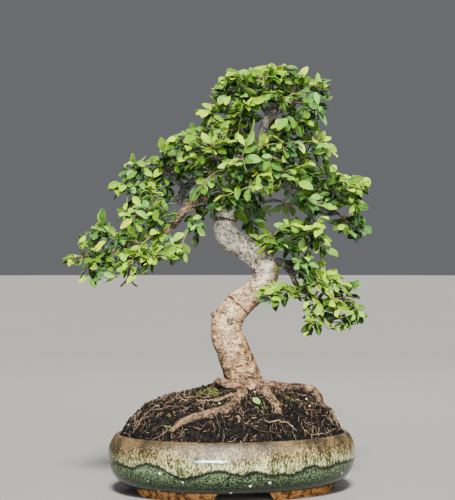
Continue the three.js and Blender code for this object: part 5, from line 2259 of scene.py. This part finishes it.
@dataclass
class Pot:
    """The oval glazed pot: a rounded wall, an inward lip, a floor with two drain holes, and four low feet."""

    setting: Setting
    half_length: float = 124.5
    outside: Line = (
        (25, 7), (16.5, 9), (9.6, 13.5), (4.6, 20), (1.7, 27), (0.41, 34), (0.41, 41), (1.7, 47), (3.6, 51.5),
        (5.6, 55), (7.6, 57.4), (9.4, 58.4), (10.9, 58), (11.6, 56.6),
    )
    inside: Line = ((9.4, 49), (6.5, 41), (10, 27.5), (19, 16.5), (30, 12.5))
    segments: int = 168
    floor: Pair = (7.0, 12.5)
    foot_section: Line = ((88, 0), (101, 0), (104, 8), (86, 8), (88, 0))
    front_gap: float = 25.0
    end_gap: float = 20.0
    flare: float = 6.0
    drain_radius: float = 9.0
    drain_spacing: float = 70.0
    deepest_drip: float = 15.0
    back_knots: int = 20
    crisp: float = math.radians(38)
    glaze: GlazeFinish = field(default_factory=GlazeFinish)
    clay: ClayFinish = field(default_factory=ClayFinish)

    def build(self) -> None:
        """Builds and dresses the pot."""
        bm = bmesh.new()
        for part in (self.bowl(), self.feet()):
            bm.from_mesh(part)
            bpy.data.meshes.remove(part)
        over = bm.verts.layers.float.new("over_edge")
        edge_at = self.glaze_edge()
        for vert in bm.verts:
            vert[over] = 0.001 * (vert.co.z - edge_at(self.angle_at(vert.co)))
        smooth_all(bm)
        for face in bm.faces:
            centre = face.calc_center_median()
            level = math.hypot(centre.x / self.half_length, centre.y / (self.half_length - OVAL.difference))
            bare = centre.z < 7.6 or (centre.z < 30 and level < 0.72)
            face.material_index = 1 if bare else 0
        for edge in bm.edges:
            if len(edge.link_faces) == 2 and edge.calc_face_angle(0.0) > self.crisp:
                edge.smooth = False
        materials = [self.glaze.material(), self.clay.material()]
        add_piece("glazed_pot", bm, self.setting.pot(), materials, ["pot"])

    def angle_at(self, place: Vector) -> float:
        """Returns the angle of a place round the pot, as on a circle that is pressed to the oval."""
        return math.atan2(place.y / (self.half_length - OVAL.difference), place.x / self.half_length)

    def bowl(self) -> Mesh:
        """Returns the bowl with its drain holes."""
        wall = [(self.half_length - inset, up) for inset, up in (*self.outside, *self.inside)]
        under, top = self.floor
        profile = [(0.0, under), (60.0, under), (92.0, under), *rounded(wall, 4, self.half_length - 0.41)]
        bm = lathe([*profile, (60.0, top), (0.0, top)], self.segments)
        OVAL.draw_out(bm)
        holes = []
        for side in (-1, 1):
            hole = bmesh.new()
            bmesh.ops.create_cone(
                hole, cap_ends=True, segments=48, radius1=self.drain_radius, radius2=self.drain_radius,
                depth=30.0,
            )
            bmesh.ops.translate(hole, verts=hole.verts, vec=(0.5 * side * self.drain_spacing, 0, 10.0))
            holes.append(hole)
        return cut_from(mesh_of("bowl", bm), holes)

    def feet(self) -> Mesh:
        """Returns the ring of four feet."""
        ring = lathe(self.foot_section, self.segments)
        OVAL.draw_out(ring)
        bmesh.ops.remove_doubles(ring, verts=ring.verts, dist=1e-3)
        bmesh.ops.recalc_face_normals(ring, faces=ring.faces)
        gaps = [self.gap(self.front_gap, 0.0), self.gap(self.end_gap, 0.5 * math.pi)]
        return cut_from(mesh_of("feet", ring), gaps)

    def gap(self, half: float, turn: float) -> BMesh:
        """Returns a long wedge that parts the feet, wider at the bottom.

        Args:
            half: Half its width where the feet meet the bowl.
            turn: How it is turned about the upright.

        Returns:
            The wedge.
        """
        bm = bmesh.new()
        verts = bmesh.ops.create_cube(bm, size=2.0)["verts"]
        for vert in verts:
            wide = half if vert.co.z > 0 else half + self.flare
            vert.co = (wide * vert.co.x, 190.0 * vert.co.y, 8.2 if vert.co.z > 0 else -1.0)
        bmesh.ops.rotate(bm, verts=bm.verts, cent=(0, 0, 0), matrix=Matrix.Rotation(turn, 3, "Z"))
        return bm

    def outer_half_length(self, up: float) -> float:
        """Returns half the length of the pot's outside at a height."""
        rows = self.outside[:-3]
        return self.half_length - float(np.interp(up, [row[1] for row in rows], [row[0] for row in rows]))

    def holds(self, place: Vector) -> bool:
        """Says whether a point is within the pot's outside.

        Args:
            place: The point.

        Returns:
            True where it is within.
        """
        if not 7 < place.z < 57:
            return False
        half = self.outer_half_length(place.z)
        return math.hypot(place.x / half, place.y / OVAL.half_width(half)) < 1

    def glaze_edge(self) -> Callable[[float], float]:
        """Returns how high the poured edge of the glaze is at each angle round the pot."""
        knots = []
        for place in (VIEW.first_inside(pixel, self.holds) for pixel in GLAZE_EDGE):
            if place:
                knots.append((self.angle_at(place), place.z))
        start, end = knots[-1], knots[0]
        span = (end[0] - start[0]) % (2 * math.pi)
        dice = Dice(SEED)
        for step in range(1, self.back_knots):
            share = step / self.back_knots
            level = start[1] + (end[1] - start[1]) * share
            drip = dice.next() ** 2.2 * self.deepest_drip
            knots.append((start[0] + span * share, level - drip * math.sin(math.pi * share)))
        knots = sorted((angle % (2 * math.pi), up) for angle, up in knots)
        before, after = knots[-1], knots[0]
        knots = [(before[0] - 2 * math.pi, before[1]), *knots, (after[0] + 2 * math.pi, after[1])]
        angles, ups = np.array(knots).T

        def level_at(angle: float) -> float:
            """Returns the height at an angle, eased between the knots.

            Args:
                angle: The angle round the pot.

            Returns:
                The height.
            """
            angle %= 2 * math.pi
            row = int(np.searchsorted(angles, angle)) - 1
            share = (angle - angles[row]) / (angles[row + 1] - angles[row])
            eased = share * share * (3 - 2 * share)
            return float(ups[row] + (ups[row + 1] - ups[row]) * eased)

        return level_at


@dataclass
class Soil:
    """The mounded soil, with its crumbly surface."""

    setting: Setting
    half_length: float = 112.6
    slope: Pair = (113.5, 75.0)
    edge: float = 55.6
    rise: float = 41.4
    trunk_rise: float = 8.0
    trunk_reach: float = 34.0
    heaps: tuple[tuple[float, float, float, float], ...] = ((80.0, -4.0, 5.0, 22.0), (-16.0, 10.0, 5.5, 15.0))
    rings: int = 110
    ring_ease: float = 0.8
    segments: int = 330
    crumbs: float = 1.1
    under: float = 50.0
    walls: Line = ((0.0, 12.8), (94.2, 12.8), (105.2, 16.5), (114.2, 27.5), (117.7, 41), (114.8, 49))
    finish: SoilFinish = field(default_factory=SoilFinish)

    def half_width(self) -> float:
        """Returns half the width of the soil's edge."""
        return OVAL.half_width(self.half_length)

    def share_at(self, x: float, y: float) -> float:
        """Returns how far out a place lies, from 0 in the middle to 1 at the soil's edge."""
        return math.hypot(x / self.half_length, y / self.half_width())

    def spot(self, angle: float, share: float) -> Pair:
        """Returns the place at an angle and a share of the way out."""
        return share * self.half_length * math.cos(angle), share * self.half_width() * math.sin(angle)

    def height(self, x: float, y: float) -> float:
        """Returns how high the mound stands at a place, the same as the frame's mound.

        Args:
            x: How far right the place is.
            y: How far back it is.

        Returns:
            The height.
        """
        share = min(1.0, math.hypot(x / self.slope[0], y / self.slope[1]))
        foot = VIEW.turned(Vector(TRUNK[1][:3]))
        away = math.hypot(x - foot.x, y - foot.y) / self.trunk_reach
        lumps = 1.4 * math.sin(0.11 * x + 0.6) * math.cos(0.13 * y - 0.4)
        lumps += 0.8 * math.sin(0.23 * x - 0.19 * y)
        for right, back, swell, wide in self.heaps:
            lumps += swell * math.exp(-((x - right) ** 2 + (y - back) ** 2) / wide ** 2)
        return (self.edge + self.rise * (1 - share ** 4.5)
                + (self.trunk_rise * math.exp(-away * away) + lumps) * (1 - share ** 6))

    def holds(self, place: Vector) -> bool:
        """Says whether a point is in the mound."""
        return self.share_at(place.x, place.y) < 1 and self.under < place.z < self.height(place.x, place.y)

    def outwards(self, x: float, y: float) -> Vector:
        """Returns the way out of the mound at a place.

        Args:
            x: How far right the place is.
            y: How far back it is.

        Returns:
            The direction, of length 1.
        """
        step = 2.0
        right = (self.height(x + step, y) - self.height(x - step, y)) / (2 * step)
        back = (self.height(x, y + step) - self.height(x, y - step)) / (2 * step)
        return Vector((-right, -back, 1.0)).normalized()

    def surface(self, x: float, y: float) -> tuple[Vector, float]:
        """Finds the crumbly surface over or beside a place.

        Args:
            x: The place to the right.
            y: The place to the back.

        Returns:
            The point of the surface, and how far it is raised there, from 0 to 1.
        """
        share = self.share_at(x, y)
        place = Vector((x, y, self.height(x, y)))
        fine = noise.fractal(place / 4.2, 0.7, 2.1, 4)
        rough = 2.8 * fine + 1.4 * noise.noise(place / 13.0)
        fade = min(1.0, max(0.0, (1 - share) * 10))
        return place + self.outwards(x, y) * (self.crumbs * rough * fade), 0.5 + 0.6 * fine

    def build(self) -> None:
        """Builds and dresses the mound."""
        top_up = 100.0
        shares = [(1 - ring / self.rings) ** self.ring_ease for ring in range(self.rings + 1)]
        bm = lathe([*self.walls, *((self.half_length * share, top_up) for share in shares)], self.segments)
        raised = bm.verts.layers.float.new("raised")
        stretch = self.half_width() / self.half_length
        for vert in bm.verts:
            half_length = math.hypot(vert.co.x, vert.co.y)
            if vert.co.z > top_up - 1:
                vert.co, vert[raised] = self.surface(vert.co.x, vert.co.y * stretch)
            elif half_length > OVAL.least:
                vert.co.y *= OVAL.half_width(half_length) / half_length
        bmesh.ops.recalc_face_normals(bm, faces=bm.faces)
        add_piece("mounded_soil", bm, self.setting.pot(), [self.finish.material()], ["soil"])


@dataclass
class Scatter:
    """Crumbs, bark fibre and grit strewn over the mound."""

    soil: Soil
    count: int = 9000
    finest: float = 0.34
    coarsest: float = 1.5
    fibres: float = 0.22
    grit: float = 0.988
    finish: GrainFinish = field(default_factory=GrainFinish)

    def build(self) -> None:
        """Builds and dresses the grains."""
        grain = bmesh.new()
        bmesh.ops.create_icosphere(grain, subdivisions=1, radius=1.0)
        template = mesh_of("grain", grain)
        corners = places_of(template)
        dice = Dice(SEED + 11)
        bm = bmesh.new()
        places, tones = [], []
        while len(tones) < self.count:
            x = dice.around(self.soil.half_length)
            y = dice.around(self.soil.half_width())
            size = self.finest + self.coarsest * dice.next() ** 3
            if self.soil.share_at(x, y) > 0.99 - 0.01 * size:
                continue
            bm.from_mesh(template)
            kind = dice.next()
            sizes = np.array([size, size * dice.between((0.6, 1.0)), size * dice.between((0.45, 0.9))])
            if kind < self.fibres:
                sizes = np.array([size * dice.between((1.6, 3.4)), 0.34 * size + 0.08, 0.26 * size + 0.08])
            up = self.soil.outwards(x, y)
            heading = Vector((dice.around(1), dice.around(1), dice.around(0.25)))
            ahead = (heading - up * heading.dot(up)).normalized()
            rough = np.array([[1 + dice.around(0.22)] for _ in corners])
            middle = np.array(self.soil.surface(x, y)[0] + up * (0.35 * sizes[2] + dice.around(0.15)))
            places.append(middle + (corners * rough * sizes) @ np.array([ahead, up.cross(ahead), up]))
            tone = 0.42 * dice.next() ** 1.5 if kind > self.fibres else dice.between((0.25, 0.78))
            tones.append(dice.between((0.8, 1.0)) if kind > self.grit else tone)
        mesh = mesh_of("loose_soil", bm)
        bpy.data.meshes.remove(template)
        put_places(mesh, np.concatenate(places))
        numbers_on(mesh, "tone", np.repeat(tones, len(corners)))
        add_piece("loose_soil", mesh, self.soil.setting.pot(), [self.finish.material()])


@dataclass
class FineRoots:
    """Thin roots that lie on the soil: those that the photograph shows, and stray ones round the mound."""

    soil: Soil
    stray: int = 1500
    risers: int = 90
    foot_depth: float = 1.5
    finish: RootletFinish = field(default_factory=RootletFinish)

    def build(self) -> None:
        """Builds and dresses the fine roots."""
        bm = bmesh.new()
        bm.verts.layers.float.new("tone")
        dice = Dice(SEED + 23)
        for line in ROOTLETS:
            places = [VIEW.first_inside(pixel, self.soil.holds) for pixel in line]
            route = [(place.x, place.y) for place in places if place]
            if len(route) > 2:
                self.grow(bm, route, dice.between((0.45, 0.8)), dice.between((0.15, 0.6)), dice, 5, 6)
        for _ in range(self.stray):
            angle, share = dice.between((0, 2 * math.pi)), 1 - 0.7 * dice.next()
            x, y = self.soil.spot(angle, share)
            heading = angle + dice.around(1.4)
            route = []
            for _ in range(4):
                if self.soil.share_at(x, y) < 0.985:
                    route.append((x, y))
                heading += dice.around(0.7)
                reach = dice.between((1.5, 5))
                x, y = x + reach * math.cos(heading), y + reach * math.sin(heading)
            if len(route) > 2:
                self.grow(bm, route, 0.1 + 0.17 * dice.next() ** 3, dice.next() ** 1.4, dice, 2, 3)
        for _ in range(self.risers):
            self.rise(bm, dice)
        for line in STANDING_ROOTS:
            self.stand_out(bm, line)
        add_piece("fine_roots", bm, self.soil.setting.pot(), [self.finish.material()])

    def stand_out(self, bm: BMesh, line: Sequence[Pair]) -> None:
        """Grows one root that stands out of the mound where the photograph shows it.

        Args:
            bm: The mesh that it is added to.
            line: The pixels that it passes, the first of them on the mound.
        """
        foot = VIEW.first_inside(line[0], self.soil.holds)
        if foot is None:
            return
        reach = (foot - VIEW.eye()).length + self.foot_depth
        points = [np.array(VIEW.eye() + VIEW.ray(pixel) * reach) for pixel in line]
        radii = np.linspace(0.42, 0.16, len(points))
        grow_tube(bm, points, radii, 4, {"tone": [0.5] * len(points)})

    def rise(self, bm: BMesh, dice: Dice) -> None:
        """Grows one short stiff root that stands out of the mound.

        Args:
            bm: The mesh that it is added to.
            dice: Draws its place and its bends.
        """
        x, y = self.soil.spot(dice.between((0, 2 * math.pi)), dice.between((0.4, 0.93)))
        place, _ = self.soil.surface(x, y)
        lean = Vector((dice.around(0.6), dice.around(0.6), dice.between((0, 0.7))))
        course = self.soil.outwards(x, y) + lean
        reach = dice.between((0.5, 1.4))
        points = [np.array(place - course * 0.6)]
        for _ in range(4):
            place = place + course.normalized() * reach
            course += Vector((dice.around(0.4), dice.around(0.4), dice.around(0.4)))
            points.append(np.array(place))
        grow_tube(bm, points, [0.2, 0.18, 0.15, 0.12, 0.07], 3, {"tone": [dice.next()] * 5})

    def grow(
        self, bm: BMesh, route: Sequence[Pair], radius: float, tone: float, dice: Dice,
        stretch_steps: int, sides: int,
    ) -> None:
        """Grows one root over the mound, with its ends in the soil.

        Args:
            bm: The mesh that it is added to.
            route: The places that it passes, seen from above.
            radius: Its radius.
            tone: How pale it is, from 0 to 1.
            dice: Draws its small bends.
            stretch_steps: How many steps each stretch of the route gets.
            sides: How many sides its section has.
        """
        path = Path([(x, y, 0.0) for x, y in route])
        steps = stretch_steps * (len(route) - 1)
        points, radii = [], []
        for step in range(steps + 1):
            share = step / steps
            x, y, _ = path.point(share)
            x, y = x + dice.around(0.3), y + dice.around(0.3)
            ends = min(1.0, 5 * min(share, 1 - share))
            lift = radius * (1.4 * ends - 0.9) + dice.between((0.1, 0.9)) * ends
            place = self.soil.surface(x, y)[0] + self.soil.outwards(x, y) * lift
            points.append(np.array(place))
            radii.append(radius * (0.55 + 0.45 * ends) * (1 + dice.around(0.14)))
        grow_tube(bm, points, radii, sides, {"tone": [tone] * len(points)})


@dataclass
class Moss:
    """Tufts of moss beside the trunk's foot."""

    soil: Soil
    patches: tuple[tuple[float, float, float, int], ...] = (
        (204, 392, 6.0, 170), (212, 389, 5.0, 110), (214, 395, 7.0, 110), (196, 397, 5.0, 60),
        (289, 400, 5.0, 40), (262, 408, 5.0, 40), (168, 417, 2.2, 14), (226, 402, 6.0, 50),
    )
    finish: MossFinish = field(default_factory=MossFinish)

    def build(self) -> None:
        """Builds and dresses the tufts."""
        bm = bmesh.new()
        bm.verts.layers.float.new("tone")
        dice = Dice(SEED + 37)
        for right, down, spread, count in self.patches:
            middle = VIEW.first_inside((right, down), self.soil.holds)
            if middle is None:
                continue
            for _ in range(count):
                x = middle.x + dice.around(spread)
                y = middle.y + dice.around(spread)
                foot = self.soil.surface(x, y)[0] - Vector((0, 0, 0.3))
                lean = Vector((dice.around(0.5), dice.around(0.5), 1.0)).normalized()
                tall = dice.between((0.9, 2.1))
                points = [np.array(foot + lean * (tall * share)) for share in (0.0, 0.5, 1.0)]
                grow_tube(bm, points, [0.42, 0.34, 0.06], 4, {"tone": [0.0, 0.5, 1.0]})
        add_piece("moss", bm, self.soil.setting.pot(), [self.finish.material()])


@dataclass
class Strays:
    """The shed leaf in front of the trunk, and a seedling at the mound's left edge."""

    soil: Soil
    blade: LeafBlade = field(default_factory=LeafBlade)
    tones: Ramp = ((0.0, (0.06, 0.14, 0.03)), (0.6, (0.12, 0.25, 0.06)), (1.0, (0.21, 0.34, 0.1)))
    shed: tuple[float, float, float, float] = (15.0, -49.0, 12.0, 7.0)
    shed_lift: float = 2.2
    seedling_pixel: Pair = (168.0, 431.0)
    seedling_leaf: Pair = (5.0, 2.0)
    spiral: float = 2.4

    def build(self) -> None:
        """Builds and dresses both."""
        leaf = LeafFinish("pale_leaf", 0.0, self.tones).material()
        x, y, length, width = self.shed
        normal = self.soil.outwards(x, y)
        along = Vector((0.35, -1.0, 0.0))
        along = (along - normal * along.dot(normal)).normalized()
        base = Vector((x, y, self.soil.height(x, y))) + normal * self.shed_lift - along * (0.5 * length)
        shed = Leaf(np.array(base), np.array(along), np.array(normal), length, width, 0.0, 0.7, 0.16)
        mesh = self.blade.leafy_mesh([shed], lambda bm: None, Dice(SEED + 5))
        add_piece("shed_leaf", mesh, self.soil.setting.pot(), [leaf], ["fallen_leaf"])
        foot = VIEW.first_inside(self.seedling_pixel, self.soil.holds)
        if foot is None:
            return
        stem = [np.array(foot + Vector((0.3 * step, -0.2 * step, 1.7 * step - 1.0))) for step in range(4)]
        leaves = []
        for step in range(5):
            right, back = math.cos(self.spiral * step), math.sin(self.spiral * step)
            out, up = unit(np.array([right, back, 0.35])), unit(np.array([-0.35 * right, -0.35 * back, 1.0]))
            place = stem[2] + (stem[3] - stem[2]) * (step / 4)
            leaves.append(Leaf(place, out, up, *self.seedling_leaf, 0.15, 0.75, 0.2))
        radii, carries = [0.45] * len(stem), {"young": [0.4 + 0.15 * index for index in range(len(stem))]}
        mesh = self.blade.leafy_mesh(
            leaves, lambda bm: grow_tube(bm, stem, radii, 6, carries, material=1), Dice(SEED + 5),
        )
        add_piece("seedling", mesh, self.soil.setting.pot(), [leaf, ShootFinish().material()])


@dataclass
class DrainScreens:
    """The two plastic screens over the drain holes, kept as the frame has them."""

    nodes: tuple[str, str] = ("drain_screen_left", "drain_screen_right")
    finish: ScreenFinish = field(default_factory=ScreenFinish)

    def dress(self) -> None:
        """Gives the screens their plastic."""
        material = self.finish.material()
        for name in self.nodes:
            node = bpy.data.objects[name]
            node.data.materials.clear()
            node.data.materials.append(material)
            LOG.info("%s: dressed", name)


@dataclass
class Studio:
    """A plain pale floor, plain soft light and the camera at the photograph's angle."""

    setting: Setting
    floor_radius: float = 12.0
    sky: Colour = (0.92, 0.95, 1.0)
    sky_strength: float = 0.16
    sun: tuple[Colour, float, float] = ((-0.12, -0.9, 1.0), 14.0, math.radians(12))
    sun_colour: Colour = (1.0, 0.955, 0.88)
    lamps: tuple[tuple[str, Colour, Pair, float, Colour], ...] = (
        ("cool", (-0.33, -1.15, 0.14), (0.36, 0.22), 85.0, (0.55, 0.84, 1.0)),
        ("warm", (-0.1, -1.1, 0.5), (1.3, 0.24), 24.0, (1.0, 0.72, 0.42)),
        ("fill", (0.1, -1.5, 0.5), (1.2, 0.9), 22.0, (1.0, 0.97, 0.92)),
        ("rim", (0.3, 1.1, 0.95), (0.8, 0.8), 7.0, (1.0, 0.99, 0.97)),
    )
    shine_only: tuple[str, ...] = ("cool", "warm")
    aim_up: float = 0.06
    sensor: float = 36.0

    def build(self) -> None:
        """Builds the floor, the lights and the camera."""
        self.lay_floor()
        self.hang_lamps()
        self.set_camera()

    def lay_floor(self) -> None:
        """Lays the floor and sets the sky."""
        bm = bmesh.new()
        bmesh.ops.create_circle(bm, cap_ends=True, segments=96, radius=self.floor_radius)
        mesh = mesh_of("floor", bm)
        mesh.materials.append(FloorFinish().material())
        linked("floor", mesh)
        world = bpy.data.worlds.new("sky")
        world.use_nodes = True
        background = world.node_tree.nodes["Background"]
        background.inputs["Color"].default_value = (*self.sky, 1.0)
        background.inputs["Strength"].default_value = self.sky_strength
        bpy.context.scene.world = world

    def hang_lamps(self) -> None:
        """Hangs the sun and the soft lamps round the plant, each lamp aimed at its middle."""
        toward, strength, angle = self.sun
        sun = bpy.data.lights.new("key", "SUN")
        sun.energy, sun.angle, sun.color = strength, angle, self.sun_colour
        linked("key", sun).rotation_euler = (-Vector(toward)).to_track_quat("-Z", "Y").to_euler()
        aim = self.setting.middle + Vector((0, 0, self.aim_up))
        for name, place, size, power, colour in self.lamps:
            lamp = bpy.data.lights.new(name, "AREA")
            lamp.shape = "RECTANGLE"
            lamp.size, lamp.size_y = size
            lamp.energy, lamp.color = power, colour
            holder = linked(name, lamp)
            holder.location = self.setting.middle + Vector(place)
            holder.rotation_euler = (aim - holder.location).to_track_quat("-Z", "Y").to_euler()
            holder.visible_camera = False
            holder.visible_diffuse = name not in self.shine_only

    def set_camera(self) -> None:
        """Sets the camera level, where the photograph was taken from."""
        camera = bpy.data.cameras.new("camera")
        camera.sensor_fit = "AUTO"
        camera.sensor_width = self.sensor
        camera.lens = VIEW.focal / VIEW.height * self.sensor
        camera.clip_start, camera.clip_end = 0.05, 100.0
        holder = linked("camera", camera)
        holder.location = self.setting.middle + 0.001 * VIEW.eye()
        holder.rotation_euler = VIEW.turned(Vector((0, 1, 0))).to_track_quat("-Z", "Y").to_euler()
        bpy.context.scene.camera = holder


def main() -> None:
    """Builds the plant and its surroundings."""
    low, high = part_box("pot")
    setting = Setting(Vector((0.5 * (low[0] + high[0]), 0.5 * (low[1] + high[1]), 0.0)), VIEW.turn)
    corners = [1000 * (np.array(corner, float) - np.array(setting.middle)) for corner in FRAME_BOX]
    Studio(setting).build()
    Pot(setting).build()
    soil = Soil(setting)
    for piece in (soil, Scatter(soil), FineRoots(soil), Moss(soil), Strays(soil)):
        piece.build()
    DrainScreens().dress()
    layout = Layout(corners[0] + MARGIN, corners[1] - MARGIN).build()
    Wood(layout, setting).build()
    Foliage(layout, setting).build()
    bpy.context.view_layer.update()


if __name__ == "__main__":
    logging.basicConfig(level=logging.INFO, format="%(message)s")
    main()
